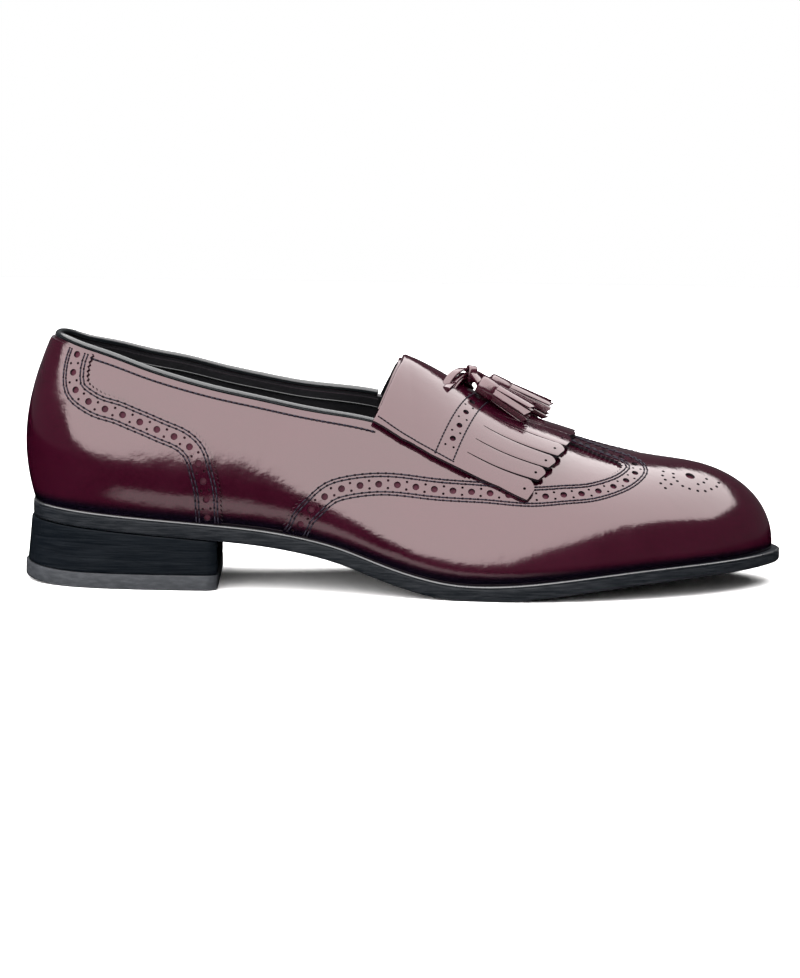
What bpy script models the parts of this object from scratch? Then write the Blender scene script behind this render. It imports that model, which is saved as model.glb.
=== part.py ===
# Kiltie loafer, right shoe. The toe points along +X, the outer (lateral) side is -Y, up is +Z.
# The tables are in millimetres, measured from the back of the heel and from the floor, and
# add_solid turns them into metres.
# The leather pieces all lie on one surface, the last. A place on it is a station, which counts
# the sections from the heel (0) to the toe (12), and a girth, which is -1 at the outer feather
# line, 0 on the ridge over the instep and toe, and 1 at the inner feather line.
import bpy
import numpy as np
from mathutils.geometry import delaunay_2d_cdt

MM = 0.001
GAP = 0.3
SLIVER = 1e-6

# The last, one row a section. The foot of a section stands on the feather line at foot_x, as far
# out from the centre line as outer and inner say. Its head is on the top line at head_x, half an
# opening to the side of the ridge. Angles are in degrees: lean is how far the wall leans out at
# its foot, tuck is how steeply the surface meets the top line.
LAST_COLUMNS = ("foot_x", "centre", "outer", "inner", "head_x", "opening", "tuck", "reach", "lean", "rise")
LAST_SECTIONS = (
    (5.2, 0.0, 0.0, 0.0, 12.8, 0.0, 66.0, 26.0, 18.0, 26.0),
    (10.5, 0.0, 16.0, 16.0, 17.0, 10.0, 70.0, 26.0, 18.0, 26.0),
    (30.0, 0.5, 27.5, 27.0, 33.0, 18.5, 76.0, 28.0, 16.0, 26.0),
    (62.0, 1.0, 31.0, 30.0, 62.0, 21.5, 80.0, 30.0, 14.0, 25.0),
    (96.0, 1.5, 32.5, 27.5, 94.0, 20.0, 74.0, 30.0, 13.0, 24.0),
    (128.0, 2.5, 38.5, 28.5, 122.0, 11.0, 50.0, 24.0, 14.0, 22.0),
    (160.0, 3.5, 46.5, 35.5, 152.0, 0.0, 8.0, 20.0, 14.0, 22.0),
    (192.0, 4.5, 51.5, 43.0, 184.0, 0.0, 0.0, 25.0, 12.0, 21.0),
    (222.0, 6.0, 51.0, 44.5, 214.0, 0.0, 0.0, 28.0, 10.0, 20.0),
    (252.0, 8.0, 44.0, 41.0, 240.0, 0.0, 0.0, 27.0, 8.0, 18.0),
    (279.0, 9.5, 30.5, 30.5, 254.0, 0.0, 0.0, 25.0, 6.0, 17.0),
    (295.8, 10.0, 14.5, 14.5, 261.0, 0.0, 0.0, 25.0, 5.0, 17.0),
    (301.6, 10.0, 0.0, 0.0, 263.0, 0.0, 0.0, 26.0, 4.0, 17.0),
)
CHANGES_SIDE = ("outer", "inner", "opening")
TOE = len(LAST_SECTIONS) - 1
THROAT = 6

# Top of the sole along the shoe: heel seat, arch, ball and toe spring.
SEAT = (
    (0.0, 32.8), (40.0, 29.6), (79.0, 26.6), (96.0, 25.0), (112.0, 22.6), (128.0, 18.9), (144.0, 13.4),
    (160.0, 8.8), (172.0, 6.7), (184.0, 6.2), (196.0, 6.7), (220.0, 9.4), (250.0, 12.9), (280.0, 15.5),
    (306.0, 17.0),
)
# Height of the top line: over the open collar, down the instep and along the ridge to the toe.
TOP_LINE = (
    (12.8, 101.5), (17.0, 101.0), (33.0, 100.0), (62.0, 98.5), (94.0, 97.0), (122.0, 94.0), (152.0, 88.6),
    (184.0, 71.4), (214.0, 60.8), (240.0, 53.8), (263.0, 50.5),
)
# How far the ridge over the instep lies to the inner side.
RIDGE = ((0.0, 0.0), (100.0, 1.0), (150.0, 5.0), (200.0, 9.0), (240.0, 10.5), (300.0, 10.0))

# The sole is this much wider than the feather line, by station.
SOLE_MARGIN = ((0.0, 2.2), (3.0, 2.0), (5.0, 2.4), (7.0, 3.2), (12.0, 3.4))
SOLE_THICKNESS = 6.6
SOLE_POINTS = 40
CLOSER_AT_ENDS = 0.28
SOLE_TOP_BEVEL = 0.6
SOLE_TREAD_BEVEL = 0.9

HEEL_FRONT = 78.8
HEEL_BACK_TOP = 2.4
HEEL_BACK_FOOT = 0.9
HEEL_INSET = 0.4
HEEL_EDGE = 0.6
HEEL_POINTS = 60
# The back of the heel is moved most at the back, and not at all past this share of its length.
HEEL_REACH = 0.6
LIFT_THICKNESS = 6.2
LIFT_BACK = 0.0
LIFT_EDGE = 0.3
LIFT_ROUNDING = 0.6
HEEL_CORNER = 5.0
CORNER_ANGLES = (8.0, 33.0, 57.0, 82.0)
BREAST_POINTS = 5
TREAD_WEAR_LENGTH = 26.0
TREAD_WEAR_RISE = 1.6

# Where the edge up the middle of the toe ends, just short of the end of the ridge.
TOE_TOP = 0.06
# How the faces are spaced: rows of station and place in the flat, and the girth's share.
TIGHT_ENDS = ((0.0, 0.0), (1.5, 2.4), (9.4, 10.3), (12.0, 14.6))
GIRTH_STRETCH = 2.9
LEATHER_STEP = 0.36
TONGUE_STEP = 0.20
KILTIE_STEP = 0.19
SOLE_STEP = 10.0
HEEL_STEP = 16.0
# An inner point keeps this share of a step away from the outline.
CLEAR_OF_EDGE = 0.45
WELD = 0.0005

WALL = 1.8
OVERLAY = 1.0
LAYER_GAP = 0.42
TONGUE_THICKNESS = 1.2
KILTIE_THICKNESS = 1.3
INSOLE_THICKNESS = 2.5
INSOLE_MARGIN = 2.6
INSOLE_POINTS = 34
WALL_FOOT = 0.99
OVERLAY_FOOT = 0.98

# Edge of the collar, a row a point: station, girth.
OUTER_COLLAR = (
    (0.0, -0.045), (1.1, -0.05), (1.6, -0.068), (2.2, -0.10), (2.6, -0.138), (3.0, -0.172), (3.5, -0.21),
    (4.0, -0.25), (4.5, -0.32), (4.95, -0.375), (5.3, -0.41), (5.6, -0.42),
)
INNER_COLLAR = (
    (0.0, 0.045), (1.1, 0.05), (1.6, 0.075), (2.2, 0.10), (2.6, 0.125), (3.0, 0.15), (3.5, 0.185),
    (4.0, 0.22), (4.5, 0.262), (4.95, 0.305), (5.3, 0.34), (5.6, 0.35),
)
COLLAR_POINTS = 26
# Edge of the throat, from the outer corner to the ridge. On the inner side it lies a little higher.
THROAT_EDGE = ((5.62, -0.41), (5.74, -0.33), (5.90, -0.21), (6.06, -0.07), (6.08, 0.0))
INNER_THROAT = 0.88

# Middle of the punched bands, a row a point: station, girth of the outer side.
WING_BAND = (
    (4.40, -1.0), (4.44, -0.975), (4.54, -0.88), (4.70, -0.79), (4.90, -0.71), (5.12, -0.67),
    (5.58, -0.63), (6.06, -0.615), (6.52, -0.59), (6.98, -0.565), (7.44, -0.555), (7.94, -0.525),
    (8.20, -0.505), (8.46, -0.465), (8.70, -0.41), (8.94, -0.325), (9.06, -0.235), (8.98, -0.165),
    (8.75, -0.125), (8.40, -0.085), (8.05, -0.035), (7.92, 0.0),
)
COUNTER_BAND = (
    (1.56, -0.05), (1.50, -0.12), (1.50, -0.21), (1.60, -0.295), (1.82, -0.345), (2.04, -0.375),
    (2.26, -0.39), (2.46, -0.415), (2.64, -0.44), (2.86, -0.475), (3.04, -0.505), (3.20, -0.57),
    (3.28, -0.675), (3.34, -0.795), (3.36, -0.915), (3.37, -1.0),
)
BAND_TO_EDGE = 5.6
WING_POINTS = 56
COUNTER_POINTS = 40
# The counter ends this far below the collar's edge, in girth.
COUNTER_BELOW = 0.02

# The kiltie: its back edge up to the ridge, then its lower edge forward to the last strip.
KILTIE_BACK = ((5.48, -0.39), (5.60, -0.325), (5.76, -0.215), (5.92, -0.08), (5.96, 0.0))
KILTIE_LOWER = ((5.48, -0.39), (5.84, -0.455), (6.20, -0.49), (6.56, -0.51), (7.02, -0.54), (7.36, -0.585))
# The slits between the strips, outer side: station and girth of the root and of the mouth.
KILTIE_SLITS = (
    (6.64, -0.435, 7.50, -0.485),
    (6.76, -0.360, 7.66, -0.410),
    (6.88, -0.275, 7.82, -0.330),
    (7.00, -0.180, 7.97, -0.235),
    (7.10, -0.070, 8.12, -0.110),
)
STRIP_TIPS = (7.47, 7.64, 7.80, 7.95, 8.10, 8.22)
SLIT_WIDTH = 0.010
STRIP_CHAMFER = 0.07
# Each corner of a strip's end is cut off over this share of its width.
BLUNT = 0.3
KILTIE_LIFT = LAYER_GAP + TONGUE_THICKNESS + LAYER_GAP

TONGUE_BACK = ((5.56, -0.32), (5.72, -0.215), (5.88, -0.08), (5.92, 0.0))
TONGUE_FRONT = 6.9

BINDING_RADIUS = 1.25
BINDING_SIDES = 8
BINDING_END = 5.52
BINDING_POINTS = 30

# The thong's path over the kiltie, a row a point: station, girth, height over the last, radius.
THONG_PATH = (
    (6.50, -0.150, 4.3, 0.8),
    (6.56, -0.100, 5.8, 1.2),
    (6.66, -0.040, 8.2, 2.3),
    (6.74, 0.015, 9.4, 3.2),
    (6.77, 0.065, 8.8, 2.6),
    (6.76, 0.115, 6.8, 1.4),
    (6.70, 0.165, 4.6, 0.8),
)
THONG_WIDE = 1.15
THONG_HIGH = 0.85
THONG_SIDES = 10
THONG_RINGS = 19
# Tassels: station, girth and height of the cap's end, then of the tips of the strips.
TASSELS = {
    "tassel_outer": (6.885, -0.035, 10.4, 7.90, -0.050, 7.1),
    "tassel_inner": (6.880, 0.100, 10.6, 7.88, 0.155, 7.5),
}
# A tassel's outline, a row a ring: share of the length, half width, half height, depth of flutes.
TASSEL_RINGS = (
    (0.00, 2.6, 2.6, 0.00),
    (0.03, 4.3, 4.3, 0.00),
    (0.28, 4.6, 4.5, 0.00),
    (0.31, 4.2, 4.0, 0.10),
    (0.55, 5.2, 4.2, 0.16),
    (0.80, 6.2, 4.1, 0.18),
    (0.97, 6.8, 3.8, 0.20),
    (1.00, 6.0, 3.2, 0.20),
)
TASSEL_SIDES = 24
TASSEL_STRIPS = 8

BURGUNDY = (0.075, 0.006, 0.017)
BLACK = (0.008, 0.008, 0.010)
SOLE_BLACK = (0.012, 0.014, 0.018)
LIFT_GREY = (0.055, 0.058, 0.062)


def smooth_step(low, high, value):
    share = np.clip((value - low) / (high - low), 0.0, 1.0)
    return share * share * (3.0 - 2.0 * share)


def through_stations(values, station, keeps_level):
    # A cubic spline through one value a section. At the heel and toe the curve is level where the
    # value is the same on both sides of the shoe, and straight where it changes sign.
    values = np.asarray(values, float)
    count = len(values)
    system = np.zeros((count, count))
    right = np.zeros(count)
    for row in range(1, count - 1):
        system[row, row - 1:row + 2] = (1.0, 4.0, 1.0)
        right[row] = 3.0 * (values[row + 1] - values[row - 1])
    if keeps_level:
        system[0, 0] = system[-1, -1] = 1.0
    else:
        system[0, :2] = (2.0, 1.0)
        system[-1, -2:] = (1.0, 2.0)
        right[0] = 3.0 * (values[1] - values[0])
        right[-1] = 3.0 * (values[-1] - values[-2])
    slope = np.linalg.solve(system, right)
    first = np.minimum(station.astype(int), count - 2)
    t = station - first
    return (
        (1.0 + 2.0 * t) * (1.0 - t) ** 2 * values[first]
        + t * (1.0 - t) ** 2 * slope[first]
        + t * t * (3.0 - 2.0 * t) * values[first + 1]
        + t * t * (t - 1.0) * slope[first + 1]
    )


def through_points(rows, place):
    # A natural cubic spline through rows of (place, value).
    known = np.array([row[0] for row in rows])
    values = np.array([row[1] for row in rows])
    step = np.diff(known)
    count = len(known)
    system = np.eye(count)
    right = np.zeros(count)
    for row in range(1, count - 1):
        system[row, row - 1:row + 2] = (step[row - 1], 2.0 * (step[row - 1] + step[row]), step[row])
        after = (values[row + 1] - values[row]) / step[row]
        before = (values[row] - values[row - 1]) / step[row - 1]
        right[row] = 3.0 * (after - before)
    bend = np.linalg.solve(system, right)
    slope = np.diff(values) / step - step * (2.0 * bend[:-1] + bend[1:]) / 3.0
    twist = np.diff(bend) / (3.0 * step)
    part = np.clip(np.searchsorted(known, place) - 1, 0, count - 2)
    t = place - known[part]
    return values[part] + slope[part] * t + bend[part] * t ** 2 + twist[part] * t ** 3


def seat_height(x):
    return through_points(SEAT, np.asarray(x, float))


def section_values(station):
    values = {}
    for column, name in enumerate(LAST_COLUMNS):
        numbers = [row[column] for row in LAST_SECTIONS]
        values[name] = through_stations(numbers, station, name not in CHANGES_SIDE)
    return values


def feather_and_head(station, side):
    section = section_values(station)
    width = np.where(side < 0, section["outer"], section["inner"])
    opening = np.where(station < THROAT, np.maximum(section["opening"], 0.0), 0.0)
    foot_y = section["centre"] + side * width
    head_y = through_points(RIDGE, section["head_x"]) + side * opening
    foot = np.stack([section["foot_x"], foot_y, seat_height(section["foot_x"])], -1)
    head = np.stack([section["head_x"], head_y, through_points(TOP_LINE, section["head_x"])], -1)
    return foot, head, section


def outward_in_plan(station, side):
    # The direction away from the shoe at the feather line.
    small = 0.001
    before = feather_and_head(np.clip(station - small, 0.0, TOE), side)[0]
    after = feather_and_head(np.clip(station + small, 0.0, TOE), side)[0]
    along = (after - before)[:, :2]
    out = np.stack([along[:, 1], -along[:, 0]], -1) * -side[:, None]
    return out / np.linalg.norm(out, axis=1, keepdims=True)


def top_line_slope(x):
    small = 0.01
    return (through_points(TOP_LINE, x + small) - through_points(TOP_LINE, x - small)) / (2.0 * small)


def section_curve(station, side):
    # Each section is one Bezier curve from the feather line to the top line.
    foot, head, section = feather_and_head(station, side)
    out = np.concatenate([outward_in_plan(station, side), np.zeros((len(station), 1))], 1)
    lean = np.radians(section["lean"])[:, None]
    tuck = np.radians(section["tuck"])[:, None]
    up = np.array([0.0, 0.0, 1.0])
    wall = foot + section["rise"][:, None] * (np.cos(lean) * up + np.sin(lean) * out)
    level = foot - head
    level[:, 2] = 0.0
    level /= np.linalg.norm(level, axis=1, keepdims=True)
    sloped = level.copy()
    sloped[:, 2] = level[:, 0] * top_line_slope(section["head_x"])
    share = smooth_step(THROAT - 1.0, THROAT, station)[:, None]
    away = level * (1.0 - share) + sloped * share
    shoulder = head + section["reach"][:, None] * (np.cos(tuck) * away - np.sin(tuck) * up)
    return foot, wall, shoulder, head


def last_point(station, girth):
    side = np.where(girth > 0.0, 1.0, -1.0)
    height = (1.0 - np.abs(girth))[:, None]
    foot, wall, shoulder, head = section_curve(station, side)
    return (
        (1.0 - height) ** 3 * foot
        + 3.0 * height * (1.0 - height) ** 2 * wall
        + 3.0 * height ** 2 * (1.0 - height) * shoulder
        + height ** 3 * head
    )


def last_slopes(station, girth):
    # How the place moves with the station and with the girth. Both are read a little inside the
    # edges and beside the ridge, where a section could be a point.
    small = 0.001
    centre = np.clip(station, small, TOE - 0.03)
    side = np.where(girth > 0.0, 1.0, -1.0)
    around = side * np.clip(np.abs(girth), 0.012, 1.0 - small)
    by_station = (last_point(centre + small, around) - last_point(centre - small, around)) / (2.0 * small)
    by_girth = (last_point(centre, around + small) - last_point(centre, around - small)) / (2.0 * small)
    return by_station, by_girth


def last_normal(station, girth):
    by_station, by_girth = last_slopes(station, girth)
    normal = np.cross(by_station, by_girth)
    return normal / np.linalg.norm(normal, axis=1, keepdims=True)


def on_last(places, lift):
    # Points at the height lift over the last, for rows of (station, girth).
    station, girth = places[:, 0], places[:, 1]
    points = last_point(station, girth)
    normal = last_normal(station, girth)
    middle = np.isclose(station, 0.0) | np.isclose(station, TOE)
    points[middle] = 0.5 * (points[middle] + last_point(station[middle], -girth[middle]))
    normal[middle] = normal[middle] + last_normal(station[middle], -girth[middle])
    normal[middle, 1] = 0.0
    normal /= np.linalg.norm(normal, axis=1, keepdims=True)
    return points + normal * np.broadcast_to(lift, len(points))[:, None]


def spaced(rows, step):
    # More points along a line of (station, girth) rows, no further apart than step.
    rows = np.asarray(rows, float)
    line = [rows[:1]]
    for start, end in zip(rows[:-1], rows[1:]):
        flat = to_flat(np.array([start, end]))
        pieces = max(1, int(np.ceil(np.linalg.norm(flat[1] - flat[0]) / step)))
        share = (np.arange(1, pieces + 1) / pieces)[:, None]
        line.append(from_flat(flat[0] + (flat[1] - flat[0]) * share))
    return np.concatenate(line)


def rounded_line(rows, count):
    # A smooth line through the rows, by the distance along them.
    rows = np.asarray(rows, float)
    flat = np.diff(rows * (1.0, GIRTH_STRETCH), axis=0)
    away = np.concatenate([[0.0], np.cumsum(np.hypot(*flat.T))])
    place = np.linspace(0.0, away[-1], count)
    station = through_points(list(zip(away, rows[:, 0])), place)
    girth = through_points(list(zip(away, rows[:, 1])), place)
    return np.stack([station, girth], -1)


def beside(line, distance):
    # The line moved sideways along the surface by a distance in millimetres, to its left.
    by_station, by_girth = last_slopes(line[:, 0], line[:, 1])
    along = np.gradient(line, axis=0)
    forward = by_station * along[:, :1] + by_girth * along[:, 1:]
    left = np.cross(last_normal(line[:, 0], line[:, 1]), forward)
    left /= np.linalg.norm(left, axis=1, keepdims=True)
    moved = np.empty_like(line)
    for row in range(len(line)):
        slopes = np.stack([by_station[row], by_girth[row]], -1)
        moved[row] = line[row] + np.linalg.lstsq(slopes, left[row] * distance, rcond=None)[0]
    return moved


def to_flat(places):
    # Stations and girths in a plane where equal lengths need about equal triangles: the tight
    # ends and the way round the shoe count for more.
    return np.column_stack([np.interp(places[:, 0], *zip(*TIGHT_ENDS)), GIRTH_STRETCH * places[:, 1]])


def from_flat(points):
    flat, station = zip(*[(row[1], row[0]) for row in TIGHT_ENDS])
    return np.column_stack([np.interp(points[:, 0], flat, station), points[:, 1] / GIRTH_STRETCH])


def mirrored(line):
    # The same line on the other side of the ridge, run backwards.
    return line[::-1] * np.array([1.0, -1.0])


def crossings(point, starts, ends):
    # How often a line from the point towards +X crosses the edges of the outlines.
    spans = (starts[:, 1] > point[1]) != (ends[:, 1] > point[1])
    rise = np.where(spans, ends[:, 1] - starts[:, 1], 1.0)
    at = starts[:, 0] + (ends[:, 0] - starts[:, 0]) * (point[1] - starts[:, 1]) / rise
    return int((spans & (at > point[0])).sum())


def distance_to_edges(point, starts, ends):
    span = ends - starts
    length = np.maximum((span ** 2).sum(1), 1e-12)
    share = np.clip(((point - starts) * span).sum(1) / length, 0.0, 1.0)
    return np.linalg.norm(point - starts - share[:, None] * span, axis=1).min()


def evenly_between(low, high, step):
    count = int(np.ceil((high - low) / step))
    return low + (np.arange(count) + 0.5) * (high - low) / count


def fill(outlines, step):
    # Triangles that fill closed outlines in the plane, with a grid of points inside them.
    corners = np.concatenate(outlines)
    edges = []
    first = 0
    for outline in outlines:
        edges += [(first + k, first + (k + 1) % len(outline)) for k in range(len(outline))]
        first += len(outline)
    starts = corners[[start for start, end in edges]]
    ends = corners[[end for start, end in edges]]
    low, high = corners.min(0), corners.max(0)
    columns, rows = (evenly_between(low[axis], high[axis], step) for axis in (0, 1))
    keep = [corners]
    for point in np.stack(np.meshgrid(columns, rows, indexing="ij"), -1).reshape(-1, 2):
        inside = crossings(point, starts, ends) % 2 == 1
        if inside and distance_to_edges(point, starts, ends) > CLEAR_OF_EDGE * step:
            keep.append(point[None])
    points = np.concatenate(keep)
    triangles = delaunay_2d_cdt([tuple(point) for point in points], edges, [], 0, 1e-7, True)[2]
    kept = []
    for face in triangles:
        first, second, third = points[face]
        area = 0.5 * float(np.linalg.det([second - first, third - first]))
        if area > SLIVER and crossings((first + second + third) / 3.0, starts, ends) % 2 == 1:
            kept.append(tuple(face))
    return points, kept


def add_solid(name, points, faces, look, collection):
    mesh = bpy.data.meshes.new(name)
    mesh.from_pydata([tuple(point) for point in np.asarray(points) * MM], [], faces)
    mesh.materials.append(look)
    mesh.validate()
    mesh.shade_smooth()
    mesh.set_sharp_from_angle(angle=np.radians(40.0))
    solid = bpy.data.objects.new(name, mesh)
    collection.objects.link(solid)
    return solid


def welded(points, faces):
    # Points at one place become one point, and faces that lose a corner go.
    rounded = np.round(points / WELD).astype(np.int64)
    unique, first, where = np.unique(rounded, axis=0, return_index=True, return_inverse=True)
    where = where.reshape(-1)
    kept = []
    for face in faces:
        moved = []
        for corner in face:
            if int(where[corner]) not in moved:
                moved.append(int(where[corner]))
        if len(moved) > 2:
            kept.append(tuple(moved))
    return points[first], kept


def leather(name, outlines, step, inner, outer, look, collection):
    # A piece of leather on the last, between the heights inner and outer. Edges at station 0 and
    # at the toe close on themselves.
    places, faces = fill([to_flat(outline) for outline in outlines], step)
    places = from_flat(places)
    below, above = (on_last(places, height) for height in (inner, outer))
    count = len(places)
    solid = [tuple(face) for face in faces]
    solid += [tuple(count + corner for corner in face[::-1]) for face in faces]
    sides = {}
    for face in faces:
        for start, end in zip(face, face[1:] + face[:1]):
            sides[(start, end)] = True
    for start, end in sides:
        if (end, start) in sides:
            continue
        both = places[[start, end], 0]
        if np.allclose(both, 0.0) or np.allclose(both, TOE):
            continue
        solid.append((end, start, count + start, count + end))
    points, solid = welded(np.concatenate([above, below]), solid)
    return add_solid(name, points, solid, look, collection)


def slab(name, rings, top, bottom, step, look, collection):
    # A piece with an upper and a lower face over a plan outline. The rings run down its side, top
    # and bottom give the height of the two faces for points (x, y).
    count = len(rings[0])
    points = [np.asarray(ring) for ring in rings]
    faces = []
    for level in range(len(rings) - 1):
        for k in range(count):
            after = (k + 1) % count
            a, b = level * count + k, level * count + after
            faces.append((b, a, a + count, b + count))
    for ring, height, is_top in ((0, top, True), (len(rings) - 1, bottom, False)):
        places, inside = fill([rings[ring][:, :2]], step)
        extra = places[count:]
        base = sum(len(part) for part in points)
        points.append(np.column_stack([extra, height(extra)]))
        number = [ring * count + k for k in range(count)] + [base + k for k in range(len(extra))]
        for face in inside:
            corners = tuple(number[corner] for corner in face)
            faces.append(corners if is_top else corners[::-1])
    return add_solid(name, np.concatenate(points), faces, look, collection)


def tube(name, path, ring, look, collection):
    # A closed solid along a path: ring holds, for each point of the path, its loop of points.
    count = ring.shape[1]
    last = len(path) - 1
    points = np.concatenate([ring.reshape(-1, 3), path[:1], path[-1:]])
    faces = []
    for k in range(last):
        for side in range(count):
            after = (side + 1) % count
            a, b = k * count + side, k * count + after
            faces.append((b, a, a + count, b + count))
    start, end = len(points) - 2, len(points) - 1
    for side in range(count):
        after = (side + 1) % count
        faces.append((start, side, after))
        faces.append((end, last * count + after, last * count + side))
    return add_solid(name, points, faces, look, collection)


def frames_along(path, up):
    along = np.gradient(path, axis=0)
    along /= np.linalg.norm(along, axis=1, keepdims=True)
    across = np.cross(along, up)
    across /= np.linalg.norm(across, axis=1, keepdims=True)
    return across, np.cross(across, along)


def look(name, colour, roughness):
    material = bpy.data.materials.new(name)
    material.use_nodes = True
    shader = material.node_tree.nodes["Principled BSDF"]
    shader.inputs["Base Color"].default_value = (*colour, 1.0)
    shader.inputs["Roughness"].default_value = roughness
    shader.inputs["Metallic"].default_value = 0.0
    return material


def plan_outline(margin, count):
    # The feather line moved out by margin(station), from the heel along the outer side to the
    # toe and back along the inner side. Stations are closer where the line turns.
    turn = np.cos(np.linspace(0.0, np.pi, count))
    station = TOE * 0.5 * (1.0 - turn * (1.0 - CLOSER_AT_ENDS + CLOSER_AT_ENDS * turn ** 2))
    rings = []
    for side in (-1.0, 1.0):
        sides = np.full(count, side)
        foot = feather_and_head(station, sides)[0]
        out = outward_in_plan(station, sides)
        line = foot[:, :2] + out * margin(station)[:, None]
        line[[0, -1], 1] = foot[[0, -1], 1]
        rings.append(line)
    return np.concatenate([rings[0], rings[1][-2:0:-1]])


def sole_margin(inset):
    return lambda station: np.interp(station, *zip(*SOLE_MARGIN)) - inset


def sole_top(places):
    return seat_height(places[:, 0])


def tread(places):
    return np.maximum(seat_height(places[:, 0]) - SOLE_THICKNESS, 0.0)


def with_height(line, height):
    return np.column_stack([line, height(line)])


def build_outsole(looks, collection):
    full = plan_outline(sole_margin(0.0), SOLE_POINTS)
    top = plan_outline(sole_margin(SOLE_TOP_BEVEL), SOLE_POINTS)
    bottom = plan_outline(sole_margin(SOLE_TREAD_BEVEL), SOLE_POINTS)
    rings = (
        with_height(top, sole_top),
        with_height(full, lambda places: sole_top(places) - SOLE_TOP_BEVEL),
        with_height(full, lambda places: tread(places) + SOLE_TREAD_BEVEL),
        with_height(bottom, tread),
    )
    slab("outsole", rings, sole_top, tread, SOLE_STEP, looks["sole"], collection)


def heel_outline(back, inset):
    # The sole's outline behind the breast of the heel, with its back end moved to back.
    outline = plan_outline(sole_margin(inset), HEEL_POINTS)
    behind = outline[outline[:, 0] < HEEL_FRONT - HEEL_CORNER]
    outer = behind[behind[:, 1] <= 0.0]
    inner = behind[behind[:, 1] > 0.0]
    outer = outer[np.argsort(outer[:, 0])]
    inner = inner[np.argsort(-inner[:, 0])]
    corner = np.radians(CORNER_ANGLES)
    radius = HEEL_CORNER - inset
    turn = np.column_stack([np.sin(corner), 1.0 - np.cos(corner)]) * radius
    front = HEEL_FRONT - inset
    outer_turn = np.column_stack([front - radius + turn[:, 0], outer[-1, 1] + turn[:, 1]])
    inner_turn = np.column_stack([front - radius + turn[::-1, 0], inner[0, 1] - turn[::-1, 1]])
    across = np.linspace(outer_turn[-1, 1], inner_turn[0, 1], BREAST_POINTS + 2)[1:-1]
    breast = np.column_stack([np.full(len(across), front), across])
    line = np.concatenate([outer, outer_turn, breast, inner_turn, inner])
    start = line[:, 0].min()
    share = 1.0 - smooth_step(start, HEEL_FRONT * HEEL_REACH, line[:, 0])
    line[:, 0] += (back - start) * share
    return line


def heel_foot(places):
    # The walking face is flat, and rises a little at the very back.
    behind = np.clip((TREAD_WEAR_LENGTH - places[:, 0]) / TREAD_WEAR_LENGTH, 0.0, 1.0)
    return TREAD_WEAR_RISE * behind ** 2


def lift_top(places):
    return heel_foot(places) + LIFT_THICKNESS


def build_heel(looks, collection):
    def top(places):
        return seat_height(places[:, 0]) - SOLE_THICKNESS - GAP

    def foot(places):
        return lift_top(places) + GAP

    rings = (
        with_height(heel_outline(HEEL_BACK_TOP + HEEL_EDGE, HEEL_INSET + HEEL_EDGE), top),
        with_height(heel_outline(HEEL_BACK_TOP, HEEL_INSET), lambda places: top(places) - HEEL_EDGE),
        with_height(heel_outline(HEEL_BACK_FOOT, HEEL_INSET), foot),
    )
    slab("heel_block", rings, top, foot, HEEL_STEP, looks["sole"], collection)
    rings = (
        with_height(heel_outline(LIFT_BACK + LIFT_EDGE, LIFT_EDGE), lift_top),
        with_height(heel_outline(LIFT_BACK, 0.0), lambda places: lift_top(places) - LIFT_EDGE),
        with_height(heel_outline(LIFT_BACK, 0.0), lambda places: heel_foot(places) + LIFT_ROUNDING),
        with_height(heel_outline(LIFT_BACK + LIFT_ROUNDING, LIFT_ROUNDING), heel_foot),
    )
    slab("top_lift", rings, lift_top, heel_foot, HEEL_STEP, looks["lift"], collection)


def build_insole(looks, collection):
    line = plan_outline(lambda station: np.full_like(station, -INSOLE_MARGIN), INSOLE_POINTS)

    def top(places):
        return seat_height(places[:, 0]) + GAP + INSOLE_THICKNESS

    def bottom(places):
        return seat_height(places[:, 0]) + GAP

    rings = (with_height(line, top), with_height(line, bottom))
    slab("insole", rings, top, bottom, HEEL_STEP, looks["lining"], collection)


def build_upper(looks, collection):
    step = LEATHER_STEP
    throat = np.array(THROAT_EDGE)
    other = mirrored(throat)[1:]
    other[:, 1] *= INNER_THROAT
    outer = rounded_line(OUTER_COLLAR, COLLAR_POINTS)
    inner = rounded_line(INNER_COLLAR, COLLAR_POINTS)[::-1]
    outline = np.concatenate([
        spaced((outer[0], (0.0, -WALL_FOOT), (TOE, -WALL_FOOT), (TOE, -TOE_TOP)), step),
        spaced(((TOE, TOE_TOP), (TOE, WALL_FOOT), (0.0, WALL_FOOT)), step),
        spaced(((0.0, WALL_FOOT), inner[-1]), step)[1:],
        inner[-2::-1],
        spaced(other[::-1], step),
        spaced(throat[::-1], step),
        outer[:0:-1],
    ])
    leather("upper", [outline], step, -WALL, 0.0, looks["upper"], collection)


def build_binding(looks, collection):
    # A bead on the edge of the collar, from one corner of the throat round the heel to the other.
    outer = rounded_line(OUTER_COLLAR, BINDING_POINTS)
    inner = rounded_line(INNER_COLLAR, BINDING_POINTS)
    line = np.concatenate([outer[outer[:, 0] < BINDING_END][::-1], inner[inner[:, 0] < BINDING_END][1:]])
    edge = on_last(line, -0.5 * WALL)
    by_girth = last_slopes(line[:, 0], line[:, 1])[1]
    up = -by_girth * np.sign(line[:, 1])[:, None]
    up /= np.linalg.norm(up, axis=1, keepdims=True)
    path = edge + up * (GAP + BINDING_RADIUS)
    across, upward = frames_along(path, up)
    angle = np.linspace(0.0, 2.0 * np.pi, BINDING_SIDES, endpoint=False)
    ring = path[:, None] + BINDING_RADIUS * (
        np.cos(angle)[None, :, None] * across[:, None] + np.sin(angle)[None, :, None] * upward[:, None]
    )
    tube("collar_binding", path, ring, looks["binding"], collection)


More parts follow.
